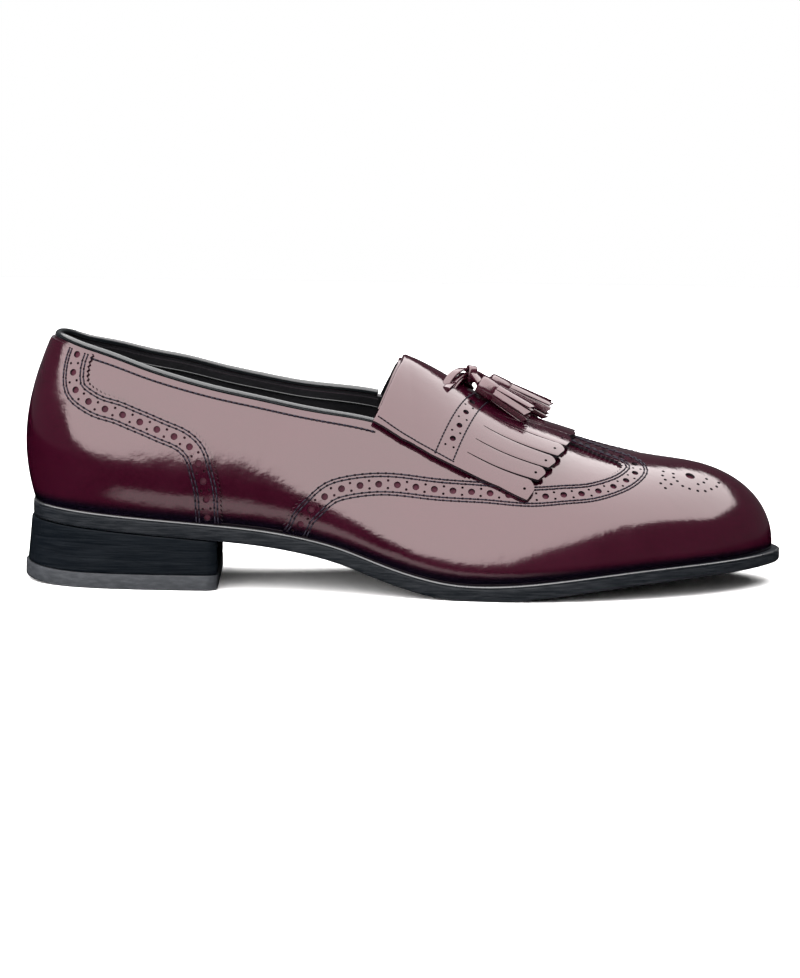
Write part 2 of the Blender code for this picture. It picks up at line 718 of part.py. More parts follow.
def build_wing(looks, collection):
    band = rounded_line(WING_BAND, WING_POINTS)
    edge = beside(band, BAND_TO_EDGE)
    edge = edge[(edge[:, 1] > -OVERLAY_FOOT) & (edge[:, 1] < -0.004)]
    edge = np.concatenate([[(edge[0, 0], -OVERLAY_FOOT)], edge, [(edge[-1, 0] - 0.2, 0.0)]])
    back = mirrored(edge)[1:]
    step = LEATHER_STEP
    outline = np.concatenate([
        spaced(((edge[0, 0], -OVERLAY_FOOT), (TOE, -OVERLAY_FOOT), (TOE, -TOE_TOP)), step),
        spaced(((TOE, TOE_TOP), (TOE, OVERLAY_FOOT)), step),
        spaced(((TOE, OVERLAY_FOOT), (back[-1, 0], OVERLAY_FOOT)), step)[1:-1],
        back[::-1],
        edge[::-1][:-1],
    ])
    leather("toe_wing", [outline], step, LAYER_GAP, LAYER_GAP + OVERLAY, looks["upper"], collection)


def build_counter(looks, collection):
    band = rounded_line(COUNTER_BAND, COUNTER_POINTS)
    edge = beside(band, BAND_TO_EDGE)
    outlines = []
    for side, collar in ((-1.0, OUTER_COLLAR), (1.0, INNER_COLLAR)):
        top = rounded_line(collar, COUNTER_POINTS)
        line = edge * np.array([1.0, -side])
        below = np.abs(line[:, 1]) - np.abs(np.interp(line[:, 0], top[:, 0], top[:, 1]))
        line = line[(below > COUNTER_BELOW) & (np.abs(line[:, 1]) < OVERLAY_FOOT)]
        rim = top[top[:, 0] < line[0, 0]][::3] + np.array([0.0, side * COUNTER_BELOW])
        foot = spaced(((0.0, side * OVERLAY_FOOT), (line[-1, 0], side * OVERLAY_FOOT)), LEATHER_STEP)
        back = spaced((rim[0], foot[0]), LEATHER_STEP)[1:-1]
        outline = np.concatenate([foot, line[::-1], rim[::-1], back])
        outlines.append(outline if side < 0 else outline[::-1])
    top = LAYER_GAP + OVERLAY
    leather("heel_counter", outlines, LEATHER_STEP, LAYER_GAP, top, looks["upper"], collection)


def build_tongue(looks, collection):
    back = np.array(TONGUE_BACK)
    front = (TONGUE_FRONT, back[0, 1])
    outline = np.concatenate([
        spaced((back[0], front, (TONGUE_FRONT, -back[0, 1]), back[0] * (1.0, -1.0)), TONGUE_STEP),
        spaced(mirrored(back)[::-1], TONGUE_STEP)[1:],
        spaced(back[::-1], TONGUE_STEP)[1:-1],
    ])
    top = LAYER_GAP + TONGUE_THICKNESS
    leather("tongue", [outline], TONGUE_STEP, LAYER_GAP, top, looks["lining"], collection)


def fringe_edge():
    # The front edge of the kiltie, strip by strip from the outer side to the ridge: each strip
    # has a blunt point, and a slit goes back to its root between two strips.
    half = 0.5 * SLIT_WIDTH
    line = []
    low = KILTIE_LOWER[-1][1]
    for slit, tip in zip(KILTIE_SLITS, STRIP_TIPS):
        root_station, root_girth, tip_station, tip_girth = slit
        width = tip_girth - low
        line += [(tip, low + BLUNT * width), (tip, tip_girth - BLUNT * width)]
        line += [(tip - STRIP_CHAMFER, tip_girth - half), (root_station, root_girth - half)]
        line += [(root_station, root_girth + half), (tip + 0.5 * STRIP_CHAMFER, tip_girth + half)]
        low = tip_girth
    line += [(STRIP_TIPS[-1], 2.0 * BLUNT * low)]
    return np.array(line)


def build_kiltie(looks, collection):
    step = KILTIE_STEP
    near = spaced(np.concatenate([np.array(KILTIE_LOWER), fringe_edge()]), step)
    back = np.array(KILTIE_BACK)
    back = np.concatenate([spaced(mirrored(back)[::-1], step)[1:], spaced(back[::-1], step)[1:-1]])
    outline = np.concatenate([near, mirrored(near), back])
    top = KILTIE_LIFT + KILTIE_THICKNESS
    leather("kiltie", [outline], step, KILTIE_LIFT, top, looks["upper"], collection)


def build_thong(looks, collection):
    rows = np.array(THONG_PATH)
    place = np.linspace(0.0, len(rows) - 1.0, THONG_RINGS)
    columns = [through_points(list(enumerate(rows[:, column])), place) for column in range(4)]
    path = on_last(np.stack(columns[:2], -1), columns[2])
    radius = columns[3]
    across, upward = frames_along(path, np.array([0.4, 0.0, 1.0]))
    angle = np.linspace(0.0, 2.0 * np.pi, THONG_SIDES, endpoint=False)
    ring = path[:, None] + radius[:, None, None] * (
        THONG_WIDE * np.cos(angle)[None, :, None] * across[:, None]
        + THONG_HIGH * np.sin(angle)[None, :, None] * upward[:, None]
    )
    tube("thong", path, ring, looks["upper"], collection)


def build_tassel(name, row, looks, collection):
    start, end = on_last(np.array([row[:2], row[3:5]]), np.array([row[2], row[5]]))
    share, wide, high, flute = (np.array(column) for column in zip(*TASSEL_RINGS))
    path = start + (end - start) * share[:, None]
    across, upward = frames_along(path, np.array([0.0, 0.0, 1.0]))
    angle = np.linspace(0.0, 2.0 * np.pi, TASSEL_SIDES, endpoint=False)
    groove = 1.0 - flute[:, None] * (0.5 + 0.5 * np.cos(TASSEL_STRIPS * angle))[None, :]
    ring = path[:, None] + (
        (wide[:, None] * groove * np.cos(angle))[:, :, None] * across[:, None]
        + (high[:, None] * groove * np.sin(angle))[:, :, None] * upward[:, None]
    )
    tube(name, path, ring, looks["upper"], collection)


def build_looks():
    return {
        "upper": look("burgundy leather", BURGUNDY, 0.22),
        "lining": look("lining leather", BLACK, 0.55),
        "binding": look("black binding", BLACK, 0.35),
        "sole": look("black sole leather", SOLE_BLACK, 0.4),
        "lift": look("grey rubber", LIFT_GREY, 0.6),
    }


def put_on_origin(collection):
    # The origin is under the middle of the shoe's box, on the floor.
    outline = plan_outline(sole_margin(0.0), SOLE_POINTS)
    middle = bpy.data.objects.new("shoe_frame", None)
    collection.objects.link(middle)
    centre_x = 0.5 * (LIFT_BACK + outline[:, 0].max())
    centre_y = 0.5 * (outline[:, 1].min() + outline[:, 1].max())
    middle.location = (-centre_x * MM, -centre_y * MM, 0.0)
    for solid in collection.objects:
        if solid is not middle:
            solid.parent = middle


def main():
    for old in list(bpy.data.objects):
        bpy.data.objects.remove(old, do_unlink=True)
    collection = bpy.data.collections.new("kiltie_loafer")
    bpy.context.scene.collection.children.link(collection)
    looks = build_looks()
    build_outsole(looks, collection)
    build_heel(looks, collection)
    build_insole(looks, collection)
    build_upper(looks, collection)
    build_binding(looks, collection)
    build_wing(looks, collection)
    build_counter(looks, collection)
    build_tongue(looks, collection)
    build_kiltie(looks, collection)
    build_thong(looks, collection)
    for name, row in TASSELS.items():
        build_tassel(name, row, looks, collection)
    put_on_origin(collection)


main()
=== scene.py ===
import bpy
import numpy as np
from mathutils import Matrix, Vector
from mathutils.geometry import delaunay_2d_cdt


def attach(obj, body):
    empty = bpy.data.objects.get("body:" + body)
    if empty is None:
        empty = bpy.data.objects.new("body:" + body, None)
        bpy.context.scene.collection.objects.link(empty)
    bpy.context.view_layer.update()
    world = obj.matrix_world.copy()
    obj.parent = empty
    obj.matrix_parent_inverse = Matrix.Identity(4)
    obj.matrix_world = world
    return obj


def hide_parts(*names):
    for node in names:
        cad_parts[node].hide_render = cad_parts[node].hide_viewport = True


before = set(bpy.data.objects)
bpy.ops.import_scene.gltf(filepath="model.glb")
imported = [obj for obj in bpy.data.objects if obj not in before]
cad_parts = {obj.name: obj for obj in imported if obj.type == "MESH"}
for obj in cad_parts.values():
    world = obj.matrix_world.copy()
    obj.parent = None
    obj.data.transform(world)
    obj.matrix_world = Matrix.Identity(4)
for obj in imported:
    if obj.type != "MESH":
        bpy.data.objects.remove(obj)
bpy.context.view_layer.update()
print("frame loaded:", len(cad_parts), "nodes")

# The last: a place on it is a station (0 heel to 12 toe) and a girth (-1 outer feather line,
# 0 ridge, 1 inner feather line). A section is one Bezier from the feather line to the top line.
last = {
    "columns": ("footX", "centre", "outer", "inner", "headX", "opening", "tuck", "reach", "lean", "rise"),
    "sections": (
        (5.2, 0.0, 0.0, 0.0, 12.8, 0.0, 66.0, 26.0, 18.0, 26.0),
        (10.5, 0.0, 16.0, 16.0, 17.0, 10.0, 70.0, 26.0, 18.0, 26.0),
        (30.0, 0.5, 27.5, 27.0, 33.0, 18.5, 76.0, 28.0, 16.0, 26.0),
        (62.0, 1.0, 31.0, 30.0, 62.0, 21.5, 80.0, 30.0, 14.0, 25.0),
        (96.0, 1.5, 32.5, 27.5, 94.0, 20.0, 74.0, 30.0, 13.0, 24.0),
        (128.0, 2.5, 38.5, 28.5, 122.0, 11.0, 50.0, 24.0, 14.0, 22.0),
        (160.0, 3.5, 46.5, 35.5, 152.0, 0.0, 8.0, 20.0, 14.0, 22.0),
        (192.0, 4.5, 51.5, 43.0, 184.0, 0.0, 0.0, 25.0, 12.0, 21.0),
        (222.0, 6.0, 51.0, 44.5, 214.0, 0.0, 0.0, 28.0, 10.0, 20.0),
        (252.0, 8.0, 44.0, 41.0, 240.0, 0.0, 0.0, 27.0, 8.0, 18.0),
        (279.0, 9.5, 30.5, 30.5, 254.0, 0.0, 0.0, 25.0, 6.0, 17.0),
        (295.8, 10.0, 14.5, 14.5, 261.0, 0.0, 0.0, 25.0, 5.0, 17.0),
        (301.6, 10.0, 0.0, 0.0, 263.0, 0.0, 0.0, 26.0, 4.0, 17.0),
    ),
    "changesSide": ("outer", "inner", "opening"),
    "seat": (
        (0.0, 32.8), (40.0, 29.6), (79.0, 26.6), (96.0, 25.0), (112.0, 22.6), (128.0, 18.9), (144.0, 13.4),
        (160.0, 8.8), (172.0, 6.7), (184.0, 6.2), (196.0, 6.7), (220.0, 9.1), (250.0, 12.0), (280.0, 13.4),
        (306.0, 14.3),
    ),
    "topLine": (
        (12.8, 101.5), (17.0, 101.0), (33.0, 100.0), (62.0, 98.5), (94.0, 97.0), (122.0, 94.0), (152.0, 88.6),
        (184.0, 71.4), (214.0, 59.8), (240.0, 52.2), (263.0, 48.9),
    ),
    "ridge": ((0.0, 0.0), (100.0, 1.0), (150.0, 5.0), (200.0, 9.0), (240.0, 10.5), (300.0, 10.0)),
    "soleMargin": ((0.0, 2.2), (3.0, 2.0), (5.0, 2.4), (7.0, 3.2), (10.0, 3.5), (12.0, 4.6)),
    "tightEnds": ((0.0, 0.0), (1.5, 2.4), (9.4, 10.3), (12.0, 14.6)),
    "girthStretch": 2.9,
    "toe": 12.0,
    "throat": 6.0,
    # where slopes are read instead of on the edges: from the ridge, and from the tip of the toe
    "ridgeBlend": 0.012, "tipClear": 0.03,
    "middle": (152.5, 1.74, 0.0),
}


def toWorld(points):
    return (points - last["middle"]) * 0.001


def smoothStep(low, high, value):
    share = np.clip((value - low) / (high - low), 0.0, 1.0)
    return share * share * (3.0 - 2.0 * share)


def throughStations(values, station, keepsLevel):
    # cubic spline, one value a section: ends level, or straight where the value changes side
    values = np.asarray(values, float)
    count = len(values)
    system = np.diag(np.full(count, 4.0)) + np.diag(np.ones(count - 1), 1) + np.diag(np.ones(count - 1), -1)
    right = np.zeros(count)
    right[1:-1] = 3.0 * (values[2:] - values[:-2])
    if keepsLevel:
        system[0, :2] = (1.0, 0.0)
        system[-1, -2:] = (0.0, 1.0)
    else:
        system[0, :2] = (2.0, 1.0)
        system[-1, -2:] = (1.0, 2.0)
        right[0] = 3.0 * (values[1] - values[0])
        right[-1] = 3.0 * (values[-1] - values[-2])
    slope = np.linalg.solve(system, right)
    first = np.clip(station.astype(int), 0, count - 2)
    t = station - first
    return (
        (1.0 + 2.0 * t) * (1.0 - t) ** 2 * values[first]
        + t * (1.0 - t) ** 2 * slope[first]
        + t * t * (3.0 - 2.0 * t) * values[first + 1]
        + t * t * (t - 1.0) * slope[first + 1]
    )


def throughPoints(rows, place):
    # natural cubic spline through rows of (place, value)
    known, values = np.array(rows, float).T
    step = np.diff(known)
    count = len(known)
    system = np.eye(count)
    inner = np.arange(1, count - 1)
    system[inner, inner - 1] = step[:-1]
    system[inner, inner] = 2.0 * (step[:-1] + step[1:])
    system[inner, inner + 1] = step[1:]
    right = np.zeros(count)
    right[1:-1] = 3.0 * np.diff(np.diff(values) / step)
    bend = np.linalg.solve(system, right)
    slope = np.diff(values) / step - step * (2.0 * bend[:-1] + bend[1:]) / 3.0
    twist = np.diff(bend) / (3.0 * step)
    part = np.clip(np.searchsorted(known, place) - 1, 0, count - 2)
    t = place - known[part]
    return values[part] + slope[part] * t + bend[part] * t ** 2 + twist[part] * t ** 3


def seatHeight(x):
    return throughPoints(last["seat"], np.asarray(x, float))


def sectionValues(station):
    table = np.array(last["sections"])
    return {
        name: throughStations(table[:, column], station, name not in last["changesSide"])
        for column, name in enumerate(last["columns"])
    }


def feetAndHeads(station, side):
    section = sectionValues(station)
    width = np.where(side < 0, section["outer"], section["inner"])
    opening = np.where(station < last["throat"], np.maximum(section["opening"], 0.0), 0.0)
    headY = throughPoints(last["ridge"], section["headX"]) + side * opening
    foot = np.stack([section["footX"], section["centre"] + side * width, seatHeight(section["footX"])], -1)
    head = np.stack([section["headX"], headY, throughPoints(last["topLine"], section["headX"])], -1)
    return foot, head, section


def outwardInPlan(station, side):
    small = 0.001
    before = feetAndHeads(np.clip(station - small, 0.0, last["toe"]), side)[0]
    after = feetAndHeads(np.clip(station + small, 0.0, last["toe"]), side)[0]
    along = (after - before)[:, :2]
    out = np.stack([along[:, 1], -along[:, 0]], -1) * -side[:, None]
    return out / np.linalg.norm(out, axis=1, keepdims=True)


def topLineSlope(x):
    small = 0.01
    behind, ahead = (throughPoints(last["topLine"], x + step) for step in (-small, small))
    return (ahead - behind) / (2.0 * small)


def lastPoint(places):
    # cubic Bezier from the foot, up the wall, over the shoulder, to the head
    station, girth = places[:, 0], places[:, 1]
    side = np.where(girth > 0.0, 1.0, -1.0)
    foot, head, section = feetAndHeads(station, side)
    out = np.concatenate([outwardInPlan(station, side), np.zeros((len(station), 1))], 1)
    lean = np.radians(section["lean"])[:, None]
    tuck = np.radians(section["tuck"])[:, None]
    up = np.array([0.0, 0.0, 1.0])
    wall = foot + section["rise"][:, None] * (np.cos(lean) * up + np.sin(lean) * out)
    level = foot - head
    level[:, 2] = 0.0
    level /= np.linalg.norm(level, axis=1, keepdims=True)
    sloped = level.copy()
    sloped[:, 2] = level[:, 0] * topLineSlope(section["headX"])
    share = smoothStep(last["throat"] - 1.0, last["throat"], station)[:, None]
    away = level * (1.0 - share) + sloped * share
    shoulder = head + section["reach"][:, None] * (np.cos(tuck) * away - np.sin(tuck) * up)
    v = (1.0 - np.abs(girth))[:, None]
    return (1 - v) ** 3 * foot + 3 * v * (1 - v) ** 2 * wall + 3 * v * v * (1 - v) * shoulder + v ** 3 * head


def fourWays(small):
    # small steps ahead, back, left and right, for slopes
    return (small, 0.0), (-small, 0.0), (0.0, small), (0.0, -small)


def lastSlopes(places):
    # how the point moves with station and with girth, read a little inside the edges
    small = 0.001
    station = np.clip(places[:, 0], small, last["toe"] - last["tipClear"])
    side = np.where(places[:, 1] > 0.0, 1.0, -1.0)
    girth = side * np.clip(np.abs(places[:, 1]), last["ridgeBlend"], 1.0 - small)
    ahead, behind, left, right = (
        lastPoint(np.stack([station + ds, girth + dg], -1)) for ds, dg in fourWays(small)
    )
    return (ahead - behind) / (2.0 * small), (left - right) / (2.0 * small)


def unit(vectors):
    return vectors / np.maximum(np.linalg.norm(vectors, axis=-1, keepdims=True), 1e-12)


def atEnds(places):
    return np.isclose(places[:, 0], 0.0) | np.isclose(places[:, 0], last["toe"])


def lastNormal(places):
    # cross product of the two slopes; on the centre lines both sides are averaged
    normal = unit(np.cross(*lastSlopes(places)))
    girth, blend = np.abs(places[:, 1]), last["ridgeBlend"]
    ends = atEnds(places)
    both = ends | ((girth < blend) & (places[:, 0] > last["throat"]))
    if both.any():
        other = places[both] * (1.0, -1.0)
        other[:, 1] = np.where(places[both, 1] > 0.0, -1.0, 1.0) * np.maximum(girth[both], 1e-9)
        twin = unit(np.cross(*lastSlopes(other)))
        share = np.where(ends[both], 0.5, 0.5 * (1.0 - girth[both] / blend))[:, None]
        normal[both] = unit(normal[both] * (1.0 - share) + twin * share)
        normal[ends, 1] = 0.0
    return unit(normal)


def onLast(places, lift):
    points = lastPoint(places)
    ends = atEnds(places)
    points[ends] = 0.5 * (points[ends] + lastPoint(places[ends] * (1.0, -1.0)))
    return points + lastNormal(places) * np.broadcast_to(lift, len(points))[:, None]


def toFlat(places):
    # the flat pattern's plane: girth stretched, the crowded ends of the last drawn apart
    station = np.interp(places[:, 0], *zip(*last["tightEnds"]))
    return np.column_stack([station, last["girthStretch"] * places[:, 1]])


def fromFlat(points):
    station, flat = zip(*last["tightEnds"])
    return np.column_stack([np.interp(points[:, 0], flat, station), points[:, 1] / last["girthStretch"]])


def moved(places, vectors):
    # places after a small move in space along the surface: the two slopes' normal equations
    byStation, byGirth = lastSlopes(places)
    ss, sg, gg = (byStation ** 2).sum(1), (byStation * byGirth).sum(1), (byGirth ** 2).sum(1)
    a, b = (byStation * vectors).sum(1), (byGirth * vectors).sum(1)
    return places + np.stack([gg * a - sg * b, ss * b - sg * a], -1) / (ss * gg - sg ** 2)[:, None]


def directions(line):
    # unit vectors along a line of places, and to its left on the surface
    byStation, byGirth = lastSlopes(line)
    along = np.gradient(line, axis=0)
    forward = unit(byStation * along[:, :1] + byGirth * along[:, 1:])
    return forward, unit(np.cross(lastNormal(line), forward))


def beside(line, distance):
    forward, left = directions(line)
    return moved(line, left * np.broadcast_to(distance, len(line))[:, None])


def roundedLine(rows, count):
    rows = np.asarray(rows, float)
    steps = np.diff(rows * (1.0, last["girthStretch"]), axis=0)
    away = np.concatenate([[0.0], np.cumsum(np.hypot(*steps.T))])
    place = np.linspace(0.0, away[-1], count)
    return np.stack([throughPoints(list(zip(away, rows[:, k])), place) for k in (0, 1)], -1)


def paced(line, pitch, start=0.5):
    # places every pitch millimetres along a line
    away = np.concatenate([[0.0], np.cumsum(np.linalg.norm(np.diff(lastPoint(line), axis=0), axis=1))])
    at = np.arange(start * pitch, away[-1] + 1e-6, pitch)
    return np.stack([np.interp(at, away, line[:, 0]), np.interp(at, away, line[:, 1])], -1)


def spaced(rows, step):
    # straight runs between the rows, cut into pieces no longer than step in the flat
    rows = np.asarray(rows, float)
    flat = toFlat(rows)
    pieces = np.maximum(1, np.ceil(np.linalg.norm(np.diff(flat, axis=0), axis=1) / step)).astype(int)
    place = np.concatenate([k + np.arange(n) / n for k, n in enumerate(pieces)] + [[len(pieces)]])
    knots = np.arange(len(flat))
    return fromFlat(np.stack([np.interp(place, knots, flat[:, k]) for k in (0, 1)], -1))


def mirrored(line):
    return line[::-1] * (1.0, -1.0)


# points tested at a time, and how close a grid point may come to an outline, in steps
cutting = {"block": 3000, "clear": 0.5}


def insideLoops(points, starts, ends):
    # even-odd rule against all edges, in blocks
    inside = np.zeros(len(points), bool)
    rise = ends[:, 1] - starts[:, 1]
    rise = np.where(np.abs(rise) < 1e-12, 1.0, rise)
    block = cutting["block"]
    for first in range(0, len(points), block):
        x, y = points[first:first + block, :1], points[first:first + block, 1:]
        spans = (starts[:, 1] > y) != (ends[:, 1] > y)
        at = starts[:, 0] + (ends[:, 0] - starts[:, 0]) * (y - starts[:, 1]) / rise
        inside[first:first + block] = (spans & (at > x)).sum(1) % 2 == 1
    return inside


def cutPattern(outlines, holes, step):
    # a flat pattern: a staggered grid inside the outlines and outside the holes, and triangles
    loops = [toFlat(loop) for loop in list(outlines) + list(holes)]
    corners = np.concatenate(loops)
    sizes = np.array([len(loop) for loop in loops])
    first = np.concatenate([[0], np.cumsum(sizes)[:-1]])
    after = np.arange(len(corners)) + 1
    after[first + sizes - 1] = first
    loopOf = np.repeat(np.arange(len(loops)), sizes)
    low, high = corners.min(0), corners.max(0)
    columns, rows = (np.arange(low[k] + 0.5 * step, high[k], step) for k in (0, 1))
    grid = np.stack(np.meshgrid(columns, rows, indexing="ij"), -1)
    grid[::2, :, 1] += 0.5 * step
    grid = grid.reshape(-1, 2)
    grid = grid[insideLoops(grid, corners, corners[after])]
    far = np.ones(len(grid), bool)
    block = cutting["block"]
    for start in range(0, len(grid), block):
        gap = grid[start:start + block, None] - corners[None]
        far[start:start + block] = (gap ** 2).sum(2).min(1) > (cutting["clear"] * step) ** 2
    points = np.concatenate([corners, grid[far]])
    edges = np.stack([np.arange(len(corners)), after], 1)
    found = delaunay_2d_cdt(points.tolist(), edges.tolist(), [], 0, 1e-9, True)
    points = np.array([tuple(point) for point in found[0]])
    triangles = np.array(found[2])
    loopOf = np.concatenate([loopOf, np.full(len(points) - len(corners), -1)])
    label = loopOf[triangles]
    size = points[triangles]
    size = 0.5 * np.cross(size[:, 1] - size[:, 0], size[:, 2] - size[:, 0])
    keep = size > 1e-9
    inHole = (label[:, 0] >= len(outlines)) & (label == label[:, :1]).all(1)
    onEdge = (label >= 0).all(1) & ~inHole
    middle = points[triangles[onEdge]].mean(1)
    outer = loopOf[:len(corners)] < len(outlines)
    keep[onEdge] &= insideLoops(middle, corners[outer], corners[after][outer])
    return fromFlat(points), triangles[keep & ~inHole]


def gridTriangles(rows, columns, closed=False):
    # two triangles a cell of a grid; closed joins the last column to the first
    row = np.arange(rows - 1)[:, None]
    column = np.arange(columns if closed else columns - 1)[None]
    a = (row * columns + column).ravel()
    b = (row * columns + (column + 1) % columns).ravel()
    return np.concatenate([np.stack([a, a + columns, b], 1), np.stack([b, a + columns, b + columns], 1)])


def joinParts(parts):
    # many (points, triangles) as one
    sizes = [len(points) for points, triangles in parts]
    starts = np.concatenate([[0], np.cumsum(sizes)[:-1]])
    points = np.concatenate([points for points, triangles in parts])
    return points, np.concatenate([part[1] + start for part, start in zip(parts, starts)])


def turns(sides):
    return np.linspace(0.0, 2.0 * np.pi, sides, endpoint=False)


def boxy(angle, power):
    # cosine and sine of a superellipse: power 1 is round, less is boxy
    c, s = np.cos(angle), np.sin(angle)
    return np.sign(c) * np.abs(c) ** power, np.sign(s) * np.abs(s) ** power


def discs(centres, first, second, radius, sides):
    # a flat fan of triangles about each centre, in the plane of two directions
    c, s = (wave(turns(sides))[None, :, None] for wave in (np.cos, np.sin))
    rings = centres[:, None] + radius * (c * first[:, None] + s * second[:, None])
    fan = np.array([(0, k, k + 1) for k in range(1, sides - 1)])
    each = sides * np.arange(len(centres))[:, None, None]
    return rings.reshape(-1, 3), (fan[None] + each).reshape(-1, 3)


def framesAlong(path, up):
    along = unit(np.gradient(path, axis=0))
    across = unit(np.cross(along, up))
    return across, np.cross(across, along)


def loopAround(path, across, upward, wide, high, sides, square=2.0):
    # a superellipse loop about each point: square 2 is round, more is boxy
    x, y = boxy(turns(sides), 2.0 / square)
    wide, high = (np.broadcast_to(value, len(path))[:, None] for value in (wide, high))
    return path[:, None] + (wide * x)[..., None] * across[:, None] + (high * y)[..., None] * upward[:, None]


def tubeParts(path, rings):
    # rings hold one loop for each point of the path; both ends close on the path's own points
    count, sides = rings.shape[:2]
    points = np.concatenate([rings.reshape(-1, 3), path[:1], path[-1:]])
    body = gridTriangles(count, sides, closed=True)[:, ::-1]
    side = np.arange(sides)
    after = (side + 1) % sides
    start, end = count * sides, count * sides + 1
    caps = [np.stack([np.full(sides, start), side, after], 1),
            np.stack([np.full(sides, end), (count - 1) * sides + after, (count - 1) * sides + side], 1)]
    return points, np.concatenate([body] + caps)


def weld(points, triangles, groups, normals=None):
    # points at one place become one; triangles that lose a corner, or lie back to back, go
    key = np.round(points / 0.002).astype(np.int64)
    unique, first, where = np.unique(key, axis=0, return_index=True, return_inverse=True)
    triangles = where.reshape(-1)[triangles]
    good = (triangles != np.roll(triangles, 1, axis=1)).all(1)
    same, times = np.unique(np.sort(triangles, axis=1), axis=0, return_inverse=True, return_counts=True)[1:]
    good &= times[same.reshape(-1)] == 1
    return first, triangles[good], groups[good], None if normals is None else normals[good]


def makePiece(name, points, triangles, looks, groups=None, cornerNormals=None, angle=40.0, foot=None):
    groups = np.zeros(len(triangles), int) if groups is None else groups
    kept, triangles, groups, cornerNormals = weld(points, triangles, groups, cornerNormals)
    mesh = bpy.data.meshes.new(name)
    mesh.from_pydata(toWorld(points[kept]).tolist(), [], triangles.tolist())
    # the foot attribute is the mask of the painted shade along the feather line
    if foot is not None:
        mesh.attributes.new("foot", "FLOAT", "POINT").data.foreach_set("value", foot[kept].astype(np.float32))
    for look in looks:
        mesh.materials.append(look)
    mesh.polygons.foreach_set("material_index", groups.astype(np.int32))
    mesh.shade_smooth()
    if cornerNormals is None:
        mesh.set_sharp_from_angle(angle=np.radians(angle))
    else:
        mesh.normals_split_custom_set(cornerNormals.reshape(-1, 3).tolist())
    piece = bpy.data.objects.new(name, mesh)
    bpy.context.scene.collection.objects.link(piece)
    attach(piece, "root")
    return piece


# A cut sheet: step of its slopes, how near the ends of the last, the ridge and the feather line
# the last's own normals are used, and where the painted shade along its foot starts and is full.
sheet = {"small": 0.002, "ends": (0.01, 0.06), "ridge": 0.015, "feather": 0.985, "stain": (0.915, 0.965)}


def faceNormals(places, lift):
    # normals of the sheet's face at the given height over the last
    small = sheet["small"]
    near = [places + step for step in fourWays(small)]
    ahead, behind, left, right = (
        onLast(np.stack([np.clip(rows[:, 0], small, last["toe"] - small), rows[:, 1]], -1), lift(rows))
        for rows in near
    )
    station, girth = places[:, 0], np.abs(places[:, 1])
    plain = (station < sheet["ends"][0]) | (station > last["toe"] - sheet["ends"][1])
    plain |= (girth < sheet["ridge"]) | (girth > sheet["feather"])
    return np.where(plain[:, None], lastNormal(places), unit(np.cross(ahead - behind, left - right)))


def leatherSheet(name, outlines, holes, step, inner, outer, looks, edgeDrop=0.0):
    # a cut sheet laid on the last between two heights: upper face, lower face, cut edges
    places, triangles = cutPattern(outlines, holes, step)
    count = len(places)
    edges = np.concatenate([triangles[:, pair] for pair in ([0, 1], [1, 2], [2, 0])])
    rim = edges[~np.isin(edges[:, 0] * count + edges[:, 1], edges[:, 1] * count + edges[:, 0])]
    ends = places[rim, 0]
    seam = np.isclose(ends, 0.0).all(1) | np.isclose(ends, last["toe"]).all(1)
    start, stop = rim[~seam].T
    drop = np.zeros(count)
    drop[np.concatenate([start, stop])] = edgeDrop
    points = np.concatenate([onLast(places, outer(places) - drop), onLast(places, inner(places))])
    walls = np.concatenate([
        np.stack([stop, start, start + count], 1), np.stack([stop, start + count, stop + count], 1),
    ])
    cells = np.concatenate([triangles, triangles[:, ::-1] + count, walls])
    groups = np.repeat(np.arange(3), (len(triangles), len(triangles), len(walls)))
    corner = points[walls]
    wallNormals = unit(np.cross(corner[:, 1] - corner[:, 0], corner[:, 2] - corner[:, 0]))
    normals = np.concatenate([
        faceNormals(places, outer)[triangles], -faceNormals(places, inner)[triangles[:, ::-1]],
        np.repeat(wallNormals[:, None], 3, 1),
    ])
    # the foot mask: painted shade, darker towards the feather line
    foot = np.tile(smoothStep(*sheet["stain"], np.abs(places[:, 1])), 2)
    return makePiece(name, points, cells, looks, groups, normals, foot=foot)


def level(height):
    return lambda places: np.full(len(places), height)


def holeRings(places, radius, sides):
    # round holes: circles drawn on the surface about each place
    first = unit(lastSlopes(places)[0])
    second = np.cross(lastNormal(places), first)
    rings = [
        moved(places, radius * (np.cos(turn) * first + np.sin(turn) * second)) for turn in turns(sides)
    ]
    return list(np.stack(rings, 1))


def stitchRow(line, pitch, length, height, thickness, start=0.5):
    # centre, direction and normal of each stitch of a row
    places = paced(line, pitch, start)
    step = paced(line, pitch, start + 0.05)[:len(places)]
    places = places[:len(step)]
    centre = onLast(places, height)
    return centre, unit(onLast(step, height) - centre), lastNormal(places), length, thickness


# A stitch: rings along it (place in half lengths, size in thicknesses), how its middle is raised
# and its ends dip, and the dark disc at both ends, painted shade of the needle hole: radius in thicknesses and at
# most, lift, reach.
sewing = {
    "rings": ((-1.0, 0.25), (-0.82, 0.8), (-0.4, 1.0), (0.0, 1.05), (0.4, 1.0), (0.82, 0.8), (1.0, 0.25)),
    "sides": 6, "raised": 0.42, "dip": 0.75,
    "dentSides": 8, "dent": 0.90, "dentMost": 0.46, "dentLift": 0.03, "dentReach": 1.02,
}


